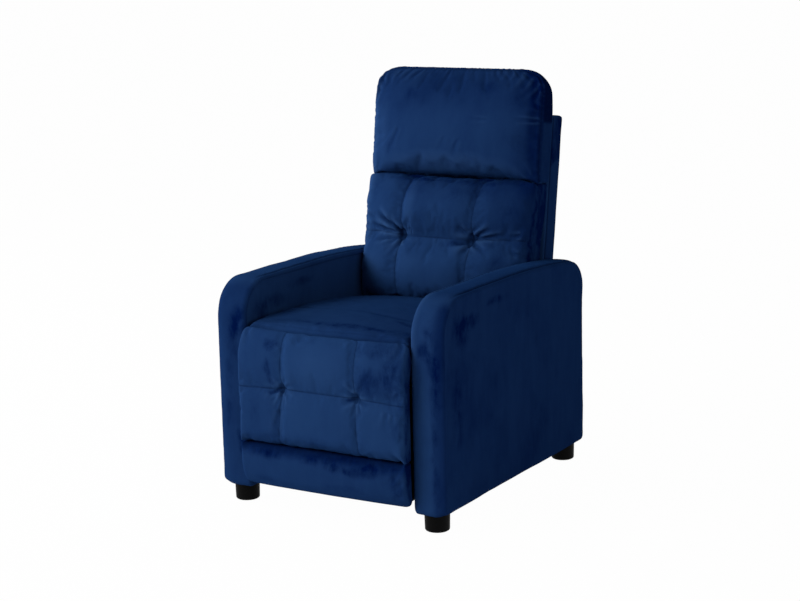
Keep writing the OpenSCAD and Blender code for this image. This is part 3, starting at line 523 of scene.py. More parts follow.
lumbar = {
    "cuts": (94, 22, 60), "half": 243, "low": 119, "high": 442, "thick": 140, "rear": 63, "edge": 10,
    "rearCurl": 26, "flare": 0.03, "flareFrom": 290, "sag": 12, "tuckUp": 5,
    # the front at its sides and middle: [share of the height, distance from the panel's rear face]
    "side": [(0, 190), (0.27, 203), (0.47, 200), (0.52, 198), (0.65, 192), (0.8, 184), (1, 172)],
    "middle": [
        (0, 246), (0.09, 262), (0.2, 270), (0.32, 268), (0.45, 252), (0.52, 243), (0.62, 250),
        (0.75, 249), (0.87, 231), (1, 192),
    ],
    "tufts": [(-108, 7), (108, 7)],
    "cloth": {"valley": 6, "spread": 26, "dimple": 13, "pressure": 4, "cap": 0.007, "looseness": 0.035,
              "groove": 2.2, "tuft": 9},
    "seams": [[(-106, 162), (-106, 60), (-108, 7), (-107, -60), (-106, -162)],
              [(106, 162), (107, 60), (108, 7), (107, -60), (106, -162)],
              [(-243, 15), (-170, 12), (-108, 7), (0, 5), (108, 7), (170, 11), (243, 16)]],
    "folds": [
        [-112, 9, -184, 66, 11, 3.6], [-112, 10, -146, 54, 8, 2.8], [-112, 8, -216, 32, 8, 3.2],
        [-110, 4, -194, -10, 6, 3.2], [-110, 2, -160, -26, 3, 3], [-98, 12, -86, 40, 3, 2.6],
        [-90, 12, -88, 36, 4, 2], [-82, 11, -79, 33, 3.6, 2], [-74, 10, -70, 28, 3.0, 2],
        [112, 9, 164, 40, 9, 3.0], [112, 7, 200, 26, 7, 2.8], [104, 3, 50, -6, 6, 5],
        [110, 2, 150, -24, 3.5, 3.2], [-106, 0, -130, -60, 3.4, 3.4], [106, 0, 84, -52, 3.6, 3.4],
        [-240, 60, -196, 44, 3, 3.4], [-240, 84, -204, 76, 2.4, 3], [-240, 34, -206, 20, 2.6, 3],
        [-240, 110, -200, 116, 2, 3.4], [-238, -60, -204, -50, 2, 4], [-238, -100, -200, -84, 1.8, 4],
        [236, 30, 206, 20, 3, 3], [236, -20, 210, -14, 2.4, 3],
    ],
    # painted highlight down the left edge and in patches
    "rim": 0.5, "paintedHighlightSpots": [
        (-190, -90, 50, 50, 0, 0.16), (-78, 86, 22, 60, 0, 0.2), (-60, -70, 60, 30, 0, 0.08),
        (-160, 30, 20, 10, -40, 0.2),
    ],
    # patches of crushed pile; the long strip along the top is painted shadow under the head cushion
    "spots": [
        (-196, 120, 22, 40, 8, 0.22), (-150, 40, 26, 14, -35, 0.3), (60, -6, 34, 10, 5, 0.4),
        (190, -60, 26, 50, 0, 0.25), (196, 70, 22, 50, 0, 0.25), (60, 120, 60, 26, 20, 0.15),
        (0, 156, 230, 8, 0, 0.25),
    ],
}


def lumbarShape(p):
    hz = (lumbar["high"] - lumbar["low"]) / 2
    q = roundBox(p, (lumbar["half"], lumbar["thick"] / 2, hz), lumbar["edge"])
    up = q[:, 2] + (lumbar["high"] + lumbar["low"]) / 2
    t = (up - lumbar["low"]) / (lumbar["high"] - lumbar["low"])
    u = np.abs(q[:, 0]) / lumbar["half"]
    side, middle = spread(t, lumbar["side"]), spread(t, lumbar["middle"])
    front = side + (middle - side) * (1 - u**2.6)
    rear = lumbar["rear"] + lumbar["rearCurl"] * u**6
    w = 0.5 - q[:, 1] / lumbar["thick"]
    depth = rear + (front - rear) * w
    flank = 1 + lumbar["flare"] * np.clip((up - lumbar["flareFrom"]) / 80, 0, 1)
    lift = lumbar["tuckUp"] * t * (1 - w)**2 - lumbar["sag"] * u**2 * (1 - t)
    return q, leaned(q[:, 0] * flank, depth, up + lift)


def tuftedPad(obj, look, cloth):
    # sewn channels and tufts, before and after the fabric has swollen
    def gaps(rest):
        flat = rest[:, [0, 2]]
        fade = np.clip((look["half"] - np.abs(flat[:, 0])) / 40, 0, 1)
        seamGap = np.min([lineGap(flat, line)[0] for line in look["seams"]], axis=0)
        tuftGap = np.min([np.hypot(flat[:, 0] - x, flat[:, 1] - z) for x, z in look["tufts"]], axis=0)
        return flat, facing(rest, 1, look["thick"] / 2), fade, seamGap, tuftGap

    rest = restOf(obj)
    flat, mask, fade, seamGap, tuftGap = gaps(rest)
    valleys = cloth["valley"] * fade * ridge(seamGap, cloth["spread"])
    pressIn(obj, mask * (valleys + cloth["dimple"] * ridge(tuftGap, 26)))
    held = np.where(rest[:, 1] > 0, 1.0, 0.0)
    held = np.maximum(held, mask * (0.9 * (seamGap < 4) + (tuftGap < 9)))
    swellCloth(obj, np.clip(held, 0, 1), cloth)
    flat, mask, fade, seamGap, tuftGap = gaps(subdivided(obj))
    folds = list(look["folds"])
    for k, (x, z) in enumerate(look["tufts"]):
        folds += tuftFolds(x, z, 11 + k)
    for k, line in enumerate(look["seams"]):
        folds += seamFolds(line, 21 + k, 17, (8, 22), (0.3, 1.1))
    grooves = cloth["groove"] * (0.4 + 0.6 * fade) * ridge(seamGap, 2.8)
    pressIn(obj, mask * (grooves + cloth["tuft"] * ridge(tuftGap, 8) + foldDepth(flat, folds)))
    # painted shade in the deepest creases and tuft dimples beside the seam thread, and a painted highlight
    # on crests, the edge nearest the lamps and listed patches
    creaseShade = np.clip(foldDepth(flat, look["folds"]) / 8, 0, 1)
    crestHighlight = np.clip(-foldDepth(flat, folds) / 2.5, 0, 1)
    rim = look["rim"] * rise(-flat[:, 0], look["half"] - 36, look["half"] - 4)
    keepShade(obj, "paintedHighlight", mask * (0.45 * crestHighlight + rim + blots(flat, look["paintedHighlightSpots"])))
    keepShade(obj, "seamAndCreaseShade", mask * (0.75 * ridge(seamGap, 1.4) + 0.7 * ridge(tuftGap, 5) + 0.8 * creaseShade))
    # crushed pile in patches, and the faces off the front painted half dark as shade
    keepShade(obj, "crushedPileAndShade", mask * blots(flat, look["spots"]) + 0.5 * (1 - mask))
    return flat, mask


def makeLumbar():
    obj = shapedGrid("lumbarCushion", lumbar["cuts"], lumbarShape)
    flat, mask = tuftedPad(obj, lumbar, lumbar["cloth"])
    x, z = flat.T
    # painted shade: darker over the upper half, along the top under the head cushion, towards the right
    # side that turns from the lamps, and on the faces off the front
    upper = 0.25 * rise(z, 96, 158) * rise(x, -150, -60) + 0.14 * rise(z, -40, 20)
    paintedShade = upper + 0.2 * rise(x, 40, 200) * rise(z, -40, 30) + 0.3 * rise(x, 180, 240)
    keepShade(obj, "paintedShade", mask * paintedShade + 0.45 * (1 - mask))
    return obj


finishPad(makeLumbar(), "back", "lumbar_cushion")
print("lumbar cushion made")

head = {
    "cuts": (96, 22, 58), "half": 257, "low": 442.5, "high": 739, "thick": 140, "edge": 10, "corner": 61,
    "tuckUp": 4, "cloth": {"pressure": 3, "cap": 0.009, "looseness": 0.03},
    "side": [(0, 152), (0.1, 158), (0.3, 160), (0.6, 161), (0.8, 160), (0.9, 154), (1, 140)],
    "middle": [
        (0, 158), (0.03, 175), (0.08, 190), (0.16, 204), (0.3, 212), (0.5, 212), (0.65, 206), (0.78, 195),
        (0.88, 181), (0.95, 167), (1, 150),
    ],
    "rearSide": [(0, 98), (0.5, 96), (0.7, 100), (0.85, 112), (0.94, 128), (1, 138)],
    "rearMiddle": [(0, 63), (0.6, 63), (0.8, 76), (0.92, 104), (1, 136)],
    "seam": [
        (-255, -148), (-255, 100), (-250, 128), (-225, 145), (225, 145), (250, 128), (255, 100),
        (255, -148),
    ],
    "folds": [
        [-196, 143, -178, 96, 2.4, 4], [-160, 143, -164, 104, 2, 4], [-128, 143, -140, 88, 1.8, 4.5],
        [-226, 132, -196, 92, 2.6, 4.5], [-240, 112, -212, 84, 2.2, 4], [-244, 84, -212, 66, 1.6, 4],
        [226, 134, 186, 84, 2.6, 4], [206, 142, 160, 96, 2.2, 4], [238, 120, 206, 70, 2.4, 4],
        [182, 143, 140, 104, 1.6, 4], [244, 96, 216, 50, 1.8, 4], [150, 143, 128, 112, 1.2, 4],
        [254, 14, 190, 12, 4.4, 2.4], [122, 8, 74, 9, 2, 2.2], [-140, -14, -190, -112, 1.3, 4],
        [44, -44, 18, -104, 1.2, 4], [6, -36, -26, -96, 0.8, 4], [232, -134, 206, -96, 1.8, 4],
        [-232, -134, -208, -100, 1.6, 4], [190, -142, 178, -106, 1.1, 4],
    ],
    # painted highlight in patches
    "paintedHighlightSpots": [(-206, -20, 26, 90, 0, 0.12), (-10, -112, 190, 34, 0, 0.3)],
    "spots": [
        (96, 92, 40, 22, 10, 0.12), (-112, 70, 22, 16, 20, 0.14), (-168, -60, 7, 46, -27, 0.16),
        (30, -76, 7, 34, -22, 0.16), (200, 70, 40, 50, 0, 0.14),
    ],
}


def headShape(p):
    hz = (head["high"] - head["low"]) / 2
    q = roundBox(p, (head["half"], head["thick"] / 2, hz), head["edge"])
    up = q[:, 2] + (head["high"] + head["low"]) / 2
    t = (up - head["low"]) / (head["high"] - head["low"])
    u = np.abs(q[:, 0]) / head["half"]
    side, middle = spread(t, head["side"]), spread(t, head["middle"])
    front = side + (middle - side) * (1 - u**3)
    rearSide, rearMiddle = spread(t, head["rearSide"]), spread(t, head["rearMiddle"])
    rear = rearMiddle + (rearSide - rearMiddle) * u**6
    w = 0.5 - q[:, 1] / head["thick"]
    depth = rear + (front - rear) * w
    width = cornerWidth(up, head["high"], head["corner"], head["half"])
    return q, leaned(q[:, 0] * width, depth, up + head["tuckUp"] * (1 - t) * (1 - w)**2)


def makeHead():
    obj = shapedGrid("headCushion", head["cuts"], headShape)
    rest = restOf(obj)
    sewn = lineGap(rest[:, [0, 2]], head["seam"])[0] < 4
    held = np.where(rest[:, 1] > 0, 1.0, 0.9 * facing(rest, 1, head["thick"] / 2) * sewn)
    swellCloth(obj, held, head["cloth"])
    rest = subdivided(obj)
    flat = rest[:, [0, 2]]
    x, z = flat.T
    mask = facing(rest, 1, head["thick"] / 2)
    gap = lineGap(flat, head["seam"])[0]
    folds = head["folds"] + seamFolds(head["seam"], 31, 15, (10, 34), (0.4, 1.6))
    pressIn(obj, mask * (2.2 * ridge(gap, 2.6) - 1.4 * ridge(gap - 6, 3) + foldDepth(flat, folds)))
    # the right side face is painted dark as shade, darkest above the crease across its middle
    rightSide = (x > 0) * rise(x, head["half"] - 10, head["half"] - 2)
    shadeAboveCrease = rise(z, 6, 16) * rightSide
    keepShade(obj, "seamAndCreaseShade", mask * 0.6 * ridge(gap, 1.8) + 0.8 * (1 - mask) * shadeAboveCrease)
    keepShade(obj, "crushedPileAndShade", mask * blots(flat, head["spots"]))
    # painted highlight on crests and down the left edge, nearest the lamps
    crestHighlight = np.clip(-foldDepth(flat, folds) / 1.5, 0, 1)
    rim = 0.55 * rise(-x, 216, 254) * rise(-z, -120, -40)
    keepShade(obj, "paintedHighlight", mask * (0.18 * crestHighlight + rim + blots(flat, head["paintedHighlightSpots"])))
    # painted shade: the side faces, the top, and the right end that rolls away from the lamps
    sideShade = 0.12 + rightSide * (0.45 + 0.4 * rise(z, 6, 18))
    frontShade = 0.2 + 0.28 * rise(z, -20, 110) + 0.3 * rise(x, 150, 248) + 0.3 * rise(x, 214, 236)
    keepShade(obj, "paintedShade", sideShade * (1 - mask) + frontShade * mask)
    return obj


finishPad(makeHead(), "back", "head_cushion")
print("head cushion made")

seat = {
    "cuts": (86, 102, 16), "half": 240, "front": -21, "rear": 556, "base": 358, "top": 470, "thick": 110,
    "edge": 15, "corner": 24, "bow": 20, "drawIn": 0.1, "toeIn": 26,
    "cloth": {"pressure": 2.5, "cap": 0.006, "looseness": 0.04},
    # the top's curve from front to rear and its rise in the middle
    "dishY": 135, "dishR": 2170, "crown": 14,
    "frontSeam": [(-240, -272), (0, -280), (240, -272)],
    "folds": [
        [-236, -96, 20, -104, 3.2, 9], [20, -104, 236, -150, 3.2, 9], [-180, -60, 120, -76, 1.6, 12],
        [-238, -200, -190, -150, 2.2, 5], [238, -210, 200, -168, 2, 5], [-120, 30, 80, 20, 1.8, 14],
        [60, -20, 238, -60, 2.2, 10], [-236, 120, -150, 90, 2, 7], [236, 110, 160, 84, 2, 7],
    ],
    "spots": [
        (40, -236, 200, 20, 0, 0.4), (-190, -150, 30, 60, 20, 0.25), (-150, 40, 60, 60, 0, 0.2),
        (120, 60, 90, 40, 20, 0.25), (60, -120, 160, 14, -8, 0.3), (170, -170, 50, 10, -20, 0.3),
    ],
}


def seatShape(p):
    hy = (seat["rear"] - seat["front"]) / 2
    q = roundBox(p, (seat["half"], hy, seat["thick"] / 2), seat["edge"])
    y = q[:, 1] + (seat["rear"] + seat["front"]) / 2
    u = q[:, 0] / seat["half"]
    t = (y - seat["front"]) / (seat["rear"] - seat["front"])
    line = seat["top"] - (y - seat["dishY"]) ** 2 / (2 * seat["dishR"])
    top = line + seat["crown"] * (1 - np.abs(u) ** 2.2) * np.clip(0.45 + t * 2.5, 0, 1)
    w = 0.5 + q[:, 2] / seat["thick"]
    z = seat["base"] + (top - seat["base"]) * w
    # front corners are rounded over and drawn back
    cornered = np.clip((np.abs(q[:, 0]) - seat["half"] + seat["corner"]) / seat["corner"], 0, 1)
    z = z - seat["corner"] * (1 - np.sqrt(1 - cornered**2)) * np.clip(1 - t * 7, 0, 1) ** 2 * w
    bow = seat["bow"] * np.abs(u) ** 2.4 * (1 - t) ** 6
    toe = seat["toeIn"] * (1 - w) * (1 - t) ** 3
    draw = 1 - seat["drawIn"] * (1 - w) ** 1.1
    return q, upright(q[:, 0] * draw, y + bow + toe, z)


def makeSeat():
    obj = shapedGrid("seatCushion", seat["cuts"], seatShape)
    rest = restOf(obj)
    held = np.where((rest[:, 2] < 20) | (np.abs(rest[:, 0]) > seat["half"] - 6), 1.0, 0.0)
    swellCloth(obj, held, seat["cloth"])
    rest = subdivided(obj)
    flat = rest[:, [0, 1]]
    mask = facing(rest, 2, seat["thick"] / 2, 1)
    front = lineGap(flat, seat["frontSeam"])[0]
    sewn = seat["half"] - 2
    folds = list(seat["folds"])
    for k, way in enumerate((-1, 1)):
        edge = [(way * sewn, -260), (way * sewn, 250)]
        folds += seamFolds(edge, 42 + k, 24, (14, 46), (0.4, 1.6), (way,))
    side = ridge(sewn - np.abs(flat[:, 0]), 3)
    pressIn(obj, mask * (0.8 * ridge(front, 2.6) + 1.6 * side + foldDepth(flat, folds)))
    keepShade(obj, "seamAndCreaseShade", mask * ridge(front, 2) * 0.2)
    # crushed pile in patches; painted shade: the faces off the top half dark, and the whole cushion darker
    # towards the near arm
    keepShade(obj, "crushedPileAndShade", mask * blots(flat, seat["spots"]) + 0.5 * (1 - mask))
    keepShade(obj, "paintedShade", 0.14 + 0.18 * rise(flat[:, 0], -200, 100))
    return obj


finishPad(makeSeat(), "seat", "seat_cushion")
print("seat cushion made")

pad = {
    "cuts": (96, 10, 60), "half": 243, "low": 174.5, "high": 469, "thick": 38, "edge": 12,
    "corner": 20, "roll": 0.085, "rollDepth": 30, "rearCurl": 14, "rearDrop": 55, "rearNarrower": 0.025,
    "middle": [
        (0, 47), (0.1, 50), (0.2, 52), (0.35, 52), (0.5, 47), (0.62, 52), (0.8, 49), (0.92, 38), (1, 22),
    ],
    "side": [(0, 45), (0.3, 45), (0.5, 45), (0.68, 44), (0.8, 39), (0.9, 27), (0.96, 15), (1, 4)],
    "tufts": [(-107, 2), (107, 2)],
    "cloth": {"valley": 2.4, "spread": 18, "dimple": 6, "pressure": 4, "cap": 0.0035, "looseness": 0.02,
              "groove": 1.6, "tuft": 6},
    "seams": [[(-107, 147), (-107, 60), (-107, 2), (-112, -50), (-121, -147)],
              [(105, 147), (104, 60), (107, 2), (107, -50), (112, -147)],
              [(-239, -3), (-107, 2), (0, 3), (107, 2), (239, -3)]],
    "folds": [
        [-108, -2, -140, -30, 4, 3], [-107, -2, -124, -50, 4, 2.4], [-104, -4, -112, -56, 3.4, 2.2],
        [-100, -3, -98, -48, 3, 2.2], [-110, 1, -160, -8, 4.6, 4], [-112, -46, -132, -124, 1.8, 4],
        [-100, 4, -76, 24, 2, 2.6], [-118, -2, -150, -20, 3, 2.4], [108, -2, 66, -8, 3.6, 4],
        [110, -2, 150, -10, 2.6, 3], [104, 6, 82, 30, 2, 2.6], [110, 4, 132, 34, 2, 2.6],
        [106, -4, 98, -46, 3, 2.6], [112, -4, 124, -40, 2.4, 2.4], [196, -20, 190, -66, 2, 4],
        [214, -24, 208, -52, 1.6, 3.4], [-226, 146, -206, 100, 1.6, 4], [226, 146, 210, 96, 2, 4],
        [230, 30, 206, 4, 2, 3.4], [-214, -146, -206, -118, 1.8, 4], [224, -146, 196, -112, 2.4, 4],
        [150, -146, 148, -120, 1.6, 4],
    ],
    # painted highlight on the left edge and in patches
    "rim": 0.12, "paintedHighlightSpots": [(0, 66, 84, 56, 0, 0.13), (-84, 30, 12, 60, 0, 0.08), (70, -70, 30, 50, 0, 0.05)],
    # patches of crushed pile; those beside the tufts and down the right edge are painted shade
    "spots": [
        (-138, 106, 24, 20, 0, 0.5), (-143, 50, 14, 28, 0, 0.55), (-134, 18, 20, 12, 0, 0.45),
        (-126, -6, 20, 7, 10, 0.7), (94, -4, 18, 6, 5, 0.7), (150, 44, 44, 36, 25, 0.42),
        (204, 70, 26, 84, 0, 0.42), (150, 122, 60, 20, 0, 0.3), (-40, 128, 90, 10, 4, 0.2),
        (230, 10, 10, 100, 0, 0.3), (-200, -60, 30, 60, 0, 0.12), (205, -60, 30, 40, 0, 0.25),
        (-60, -120, 120, 14, 0, 0.15),
    ],
}


def rearNarrower(w):
    # the front spreads a little past the arms' inner faces, which the rear clears
    return 1 - pad["rearNarrower"] * (1 - w)


def padShape(p):
    hz = (pad["high"] - pad["low"]) / 2
    q = flatRound(p, (pad["half"], pad["thick"] / 2, hz), pad["edge"])
    z = q[:, 2] + (pad["high"] + pad["low"]) / 2
    t = (z - pad["low"]) / (pad["high"] - pad["low"])
    u = np.abs(q[:, 0]) / pad["half"]
    side, middle = spread(t, pad["side"]), spread(t, pad["middle"])
    front = side + (middle - side) * (1 - u**2.4) - pad["rollDepth"] * rolledIn(t, u, pad["roll"])
    rear = -pad["rearCurl"] * np.clip((t - 0.55) / 0.45, 0, 1) ** 2
    w = 0.5 - q[:, 1] / pad["thick"]
    depth = rear + (front - rear) * w
    drop = (1 - w) * pad["rearDrop"] * np.clip((t - 0.6) / 0.4, 0, 1)
    width = cornerWidth(z, pad["high"], pad["corner"], pad["half"]) * rearNarrower(w)
    return q, upright(q[:, 0] * width, -depth, z - drop)


def makePad():
    obj = shapedGrid("footrestPad", pad["cuts"], padShape)
    flat, mask = tuftedPad(obj, pad, pad["cloth"])
    x, z = flat.T
    # painted shade on the left panel, the upper right and the lowest part, and on the faces off the front
    paintedShade = 0.16 * rise(-x, 100, 125) + 0.14 * rise(x, 125, 215) * rise(z, -20, 40) + 0.14 * rise(-z, 90, 140)
    keepShade(obj, "paintedShade", mask * paintedShade + 0.2 * (1 - mask))
    return obj


finishPad(makePad(), "footrest", "footrest_pad")

lip = {
    "cuts": (96, 10, 26), "half": 243, "low": 61, "high": 173.5, "thick": 36, "edge": 13, "corner": 19,
    "roll": 0.26, "rollDepth": 36,
    "middle": [(0, 20), (0.06, 32), (0.18, 42), (0.4, 47), (0.65, 48), (1, 47)],
    "side": [(0, 14), (0.1, 25), (0.25, 35), (0.45, 42), (0.7, 45), (1, 45)],
    "folds": [
        [-150, 52, -146, 22, 1.8, 5], [-60, 52, -66, 26, 1.4, 5], [30, 52, 36, 22, 1.6, 5],
        [90, 52, 84, 24, 2, 5], [150, 52, 158, 20, 2.2, 5], [226, 40, 190, 0, 2.4, 4],
        [234, 16, 204, -14, 2, 4], [230, -20, 200, -36, 1.8, 4], [-228, 30, -200, 6, 1.8, 4],
    ],
    "spots": [
        (-160, 34, 50, 12, 0, 0.35), (20, 30, 90, 14, -4, 0.35), (130, 26, 60, 16, 4, 0.4),
        (214, 4, 20, 40, 0, 0.35), (-150, -30, 60, 12, 0, 0.2), (60, -24, 60, 10, 0, 0.2),
    ],
}


def lipShape(p):
    hz = (lip["high"] - lip["low"]) / 2
    q = flatRound(p, (lip["half"], lip["thick"] / 2, hz), lip["edge"])
    z = q[:, 2] + (lip["high"] + lip["low"]) / 2
    t = (z - lip["low"]) / (lip["high"] - lip["low"])
    u = np.abs(q[:, 0]) / lip["half"]
    side, middle = spread(t, lip["side"]), spread(t, lip["middle"])
    front = side + (middle - side) * (1 - u**3) - lip["rollDepth"] * rolledIn(1 - t, u, lip["roll"])
    w = 0.5 - q[:, 1] / lip["thick"]
    width = cornerWidth(-z, -lip["low"], lip["corner"], lip["half"]) * rearNarrower(w)
    return q, upright(q[:, 0] * width, -front * w, z)


def makeLip():
    obj = shapedGrid("footrestLip", lip["cuts"], lipShape)
    rest = subdivided(obj)
    flat = rest[:, [0, 2]]
    mask = facing(rest, 1, lip["thick"] / 2)
    folds = lip["folds"] + seamFolds([(-232, 50), (232, 50)], 51, 20, (10, 34), (0.4, 1.6), (-1,))
    pressIn(obj, mask * (foldDepth(flat, folds) + 0.8 * softNoise(rest * [1, 0, 1], 46, 9)))
    # crushed pile in patches, and the faces off the front painted half dark as shade; painted shadow under
    # the pad's overhang, darkest at the top
    keepShade(obj, "crushedPileAndShade", mask * blots(flat, lip["spots"]) + 0.5 * (1 - mask))
    keepShade(obj, "paintedShade", 0.22 + 0.55 * rise(rest[:, 2], 22, 50))
    return obj


finishPad(makeLip(), "footrest", "footrest_lip")
print("footrest pad and lip made")

arm = {
    "cuts": (18, 90, 66), "inner": 244, "outer": 325, "depth": 750, "low": 48, "top": 568,
    # the outline: round front and rear, and a top that falls gently from its highest place
    "frontR": 90, "rearR": 68, "fallR": 3100, "fallY": 330, "lowR": 6, "centre": (372, 300),
    "start": (0, 300), "steps": 2000, "around": 2480,
    # the section: edges, seams and how full the stuffing is
    "edge": 6, "crown": 3.5, "seam": 31.5, "seamDepth": 3.4,
    "sideFull": 3.2, "bandFull": 4.5, "seatwardFull": 2, "lowLift": 4.5,
    # places on the front faces, across and up, and on the outer and inner sides, back and up
    "frontSpots": [
        (300, 440, 22, 60, 6, 0.34), (304, 330, 14, 80, 0, 0.3), (300, 215, 12, 60, 0, 0.26),
        (304, 120, 12, 70, 0, 0.24), (274, 452, 18, 30, 10, 0.3), (298, 500, 24, 24, 0, 0.26),
        (262, 380, 8, 50, 0, 0.1),
    ],
    "farSpots": [
        (-262, 470, 26, 44, -20, 0.35), (-280, 420, 18, 44, 0, 0.25), (-292, 330, 12, 50, 0, 0.25),
        (-256, 150, 16, 50, 15, 0.5), (-300, 250, 10, 50, 0, 0.2),
    ],
    "sideSpots": [
        (80, 480, 40, 50, 30, 0.4), (130, 500, 50, 20, 0, 0.4), (260, 530, 60, 14, 0, 0.3),
        (60, 300, 26, 120, 0, 0.2),
    ],
}


def armOutline(count):
    # points round the arm from the middle of its front, going up, evenly spaced
    fallZ = arm["top"] - arm["fallR"]
    rearY = arm["depth"] - arm["rearR"]
    rearZ = fallZ + math.sqrt((arm["fallR"] - arm["rearR"]) ** 2 - (rearY - arm["fallY"]) ** 2)
    turn = math.degrees(math.atan2(rearY - arm["fallY"], rearZ - fallZ))

    def arc(c, r, a, b, n):
        angles = np.radians(np.linspace(a, b, n))
        return np.stack([c[0] + r * np.cos(angles), c[1] + r * np.sin(angles)], axis=1)

    low = arm["low"] + arm["lowR"]
    points = np.concatenate([
        [arm["start"]],
        arc((arm["frontR"], arm["top"] - arm["frontR"]), arm["frontR"], 180, 90, 60),
        arc((arm["fallY"], fallZ), arm["fallR"], 90, 90 - turn, 60),
        arc((rearY, rearZ), arm["rearR"], 90 - turn, 0, 50),
        arc((arm["depth"] - arm["lowR"], low), arm["lowR"], 0, -90, 10),
        arc((arm["lowR"], low), arm["lowR"], 270, 180, 10),
        [arm["start"]]])
    run = np.concatenate([[0], np.cumsum(np.linalg.norm(np.diff(points, axis=0), axis=1))])
    at = np.linspace(0, run[-1], count)
    return np.stack([np.interp(at, run, points[:, 0]), np.interp(at, run, points[:, 1])], axis=1)


def armShape(p, sign):
    outline = armOutline(arm["steps"] + 1)
    centre = np.array(arm["centre"])
    # each point of the square's edge goes to the outline in the same direction from the centre
    m = np.maximum(np.maximum(np.abs(p[:, 1]), np.abs(p[:, 2])), 1e-6)
    angle = np.unwrap(np.arctan2(outline[:, 1] - centre[1], centre[0] - outline[:, 0]))
    pointAngle = np.arctan2(p[:, 2] / m * 0.72, -p[:, 1] / m)
    pointAngle = np.where(pointAngle < angle[0], pointAngle + 2 * np.pi, pointAngle)
    share = np.interp(pointAngle, angle, np.arange(len(outline)))
    i = np.clip(share.astype(int), 0, len(outline) - 2)
    f = (share - i)[:, None]
    rim = outline[i] * (1 - f) + outline[i + 1] * f
    reach = np.linalg.norm(rim - centre, axis=1)
    # rings gather near the rim and columns near the long edges, where the seams are
    away = reach * (1 - m) * (0.25 + 0.75 * (1 - m))
    halfW = (arm["outer"] - arm["inner"]) / 2
    x = p[:, 0]
    across = np.sign(x) * (1 - (1 - np.abs(x)) * (0.45 + 0.55 * (1 - np.abs(x)))) * halfW
    r = arm["edge"]
    overX = np.maximum(np.abs(across) - (halfW - r), 0)
    overR = np.maximum(r - away, 0)
    length = np.hypot(overX, overR)
    rounded = (overX > 0) & (overR > 0)
    scale = np.where(rounded, r / np.maximum(length, 1e-9), 1)
    nx = np.where(rounded, np.sign(across) * (halfW - r + overX * scale), across)
    na = np.where(rounded, r - overR * scale, away)
    yz = rim + (centre - rim) * (na / np.maximum(reach, 1e-9))[:, None]
    crown = arm["crown"] * (1 - (nx / halfW) ** 2) * np.clip(1 - na / 2, 0, 1)
    yz = yz + (rim - centre) / np.maximum(reach, 1e-9)[:, None] * crown[:, None]
    # the outer lower edge sits a little higher
    yz[:, 1] += arm["lowLift"] * rise(nx, 8, 38) * rise(80 - yz[:, 1], 0, 30)
    middle = (arm["inner"] + arm["outer"]) / 2
    return np.stack([nx, na, share], axis=1), upright(sign * (middle + nx), yz[:, 0], yz[:, 1])


def makeArm(name, sign):
    obj = shapedGrid(name, arm["cuts"], lambda p: armShape(p, sign))
    onlyActive(obj)
    bpy.ops.object.mode_set(mode="EDIT")
    bpy.ops.mesh.select_all(action="SELECT")
    bpy.ops.mesh.normals_make_consistent(inside=False)
    bpy.ops.object.mode_set(mode="OBJECT")
    across, away, along = subdivided(obj).T
    along = along / arm["steps"] * arm["around"]
    place = (coords(obj) - [0, armFront, 0]) * 1000
    x, y, z = place.T
    seamGap = np.abs(np.abs(across) - arm["seam"])
    onBand = np.clip((8 - away) / 4, 0, 1)
    folds = []
    for k, side in enumerate((-1, 1)):
        seam = [(0, side * arm["seam"]), (arm["around"], side * arm["seam"])]
        folds += seamFolds(seam, 61 + k, 26, (8, 24), (0.2, 1.0), (-side,))
    # the seam sinks in along the top and is hardly seen down the front
    topShare = np.clip((y - 60) / 60, 0, 1) * np.clip((z - 400) / 50, 0, 1)
    creases = foldDepth(np.column_stack([along, across]), folds)
    depth = onBand * (arm["seamDepth"] * topShare * ridge(seamGap, 2.4) + (0.3 + 0.7 * topShare) * creases)
    # the side panel gathers a little under the seam, and lies slack
    face = np.clip((np.abs(across) - 38) / 2, 0, 1)
    depth = depth + 0.9 * face * softNoise(along[:, None], 13, 71 + sign) * ridge(away - 14, 16)
    depth = depth + softNoise(place, 90, 73 + sign) + 0.4 * softNoise(place, 34, 75 + sign)
    # the outer side and the band are full, and the inner front edge swells a little towards the seat
    outward = np.clip((across - 30) / 10, 0, 1)
    band = onBand * (1 - outward) * (1 - np.clip(across / 42, 0, 1) ** 4)
    seatward = np.clip((-across - 20) / 16, 0, 1) * np.clip(1 - y / 70, 0, 1) ** 2
    full = arm["sideFull"] * outward + arm["bandFull"] * band + arm["seatwardFull"] * seatward
    pressIn(obj, depth - full)
    keepShade(obj, "seamAndCreaseShade", onBand * topShare * ridge(seamGap, 2))
    # crushed pile marks, and painted shade: the outer side and the top are painted darker than the front
    near = sign > 0
    front = np.clip((60 - y) / 30, 0, 1) * onBand
    frontMarks = front * blots(place[:, [0, 2]], arm["frontSpots" if near else "farSpots"])
    keepShade(obj, "crushedPileAndShade", frontMarks + (1 - front) * face * blots(place[:, [1, 2]], arm["sideSpots"]))
    frontShade = 0.3 + 0.1 * rise(z, 380, 460)
    topShade = 0.12
    outerSideShade = 0.15 * np.clip((across - 27) / 12, 0, 1)
    if near:
        # the near arm's front is painted darker towards its outer edge, which turns from the lamps
        frontShade = 0.04 + 0.56 * rise(x, 288, 320) + 0.12 * rise(z, 360, 440)
        topShade = 0.12 + 0.36 * rise(across, -32, -8)
        outerSideShade = 0.5 * np.clip((across - 27) / 12, 0, 1)
        # painted highlight on the inner edge where the front turns into the top
        innerEdgeHighlight = rise(-across, 22, 38) * rise(z, 300, 460) * (1 - rise(y, 60, 160))
        keepShade(obj, "paintedHighlight", 0.3 * innerEdgeHighlight * onBand)
    topBandShade = topShade * rise(y, 20, 110) * onBand
    keepShade(obj, "paintedShade", np.maximum(front * frontShade, np.maximum(outerSideShade, topBandShade)))
    return obj


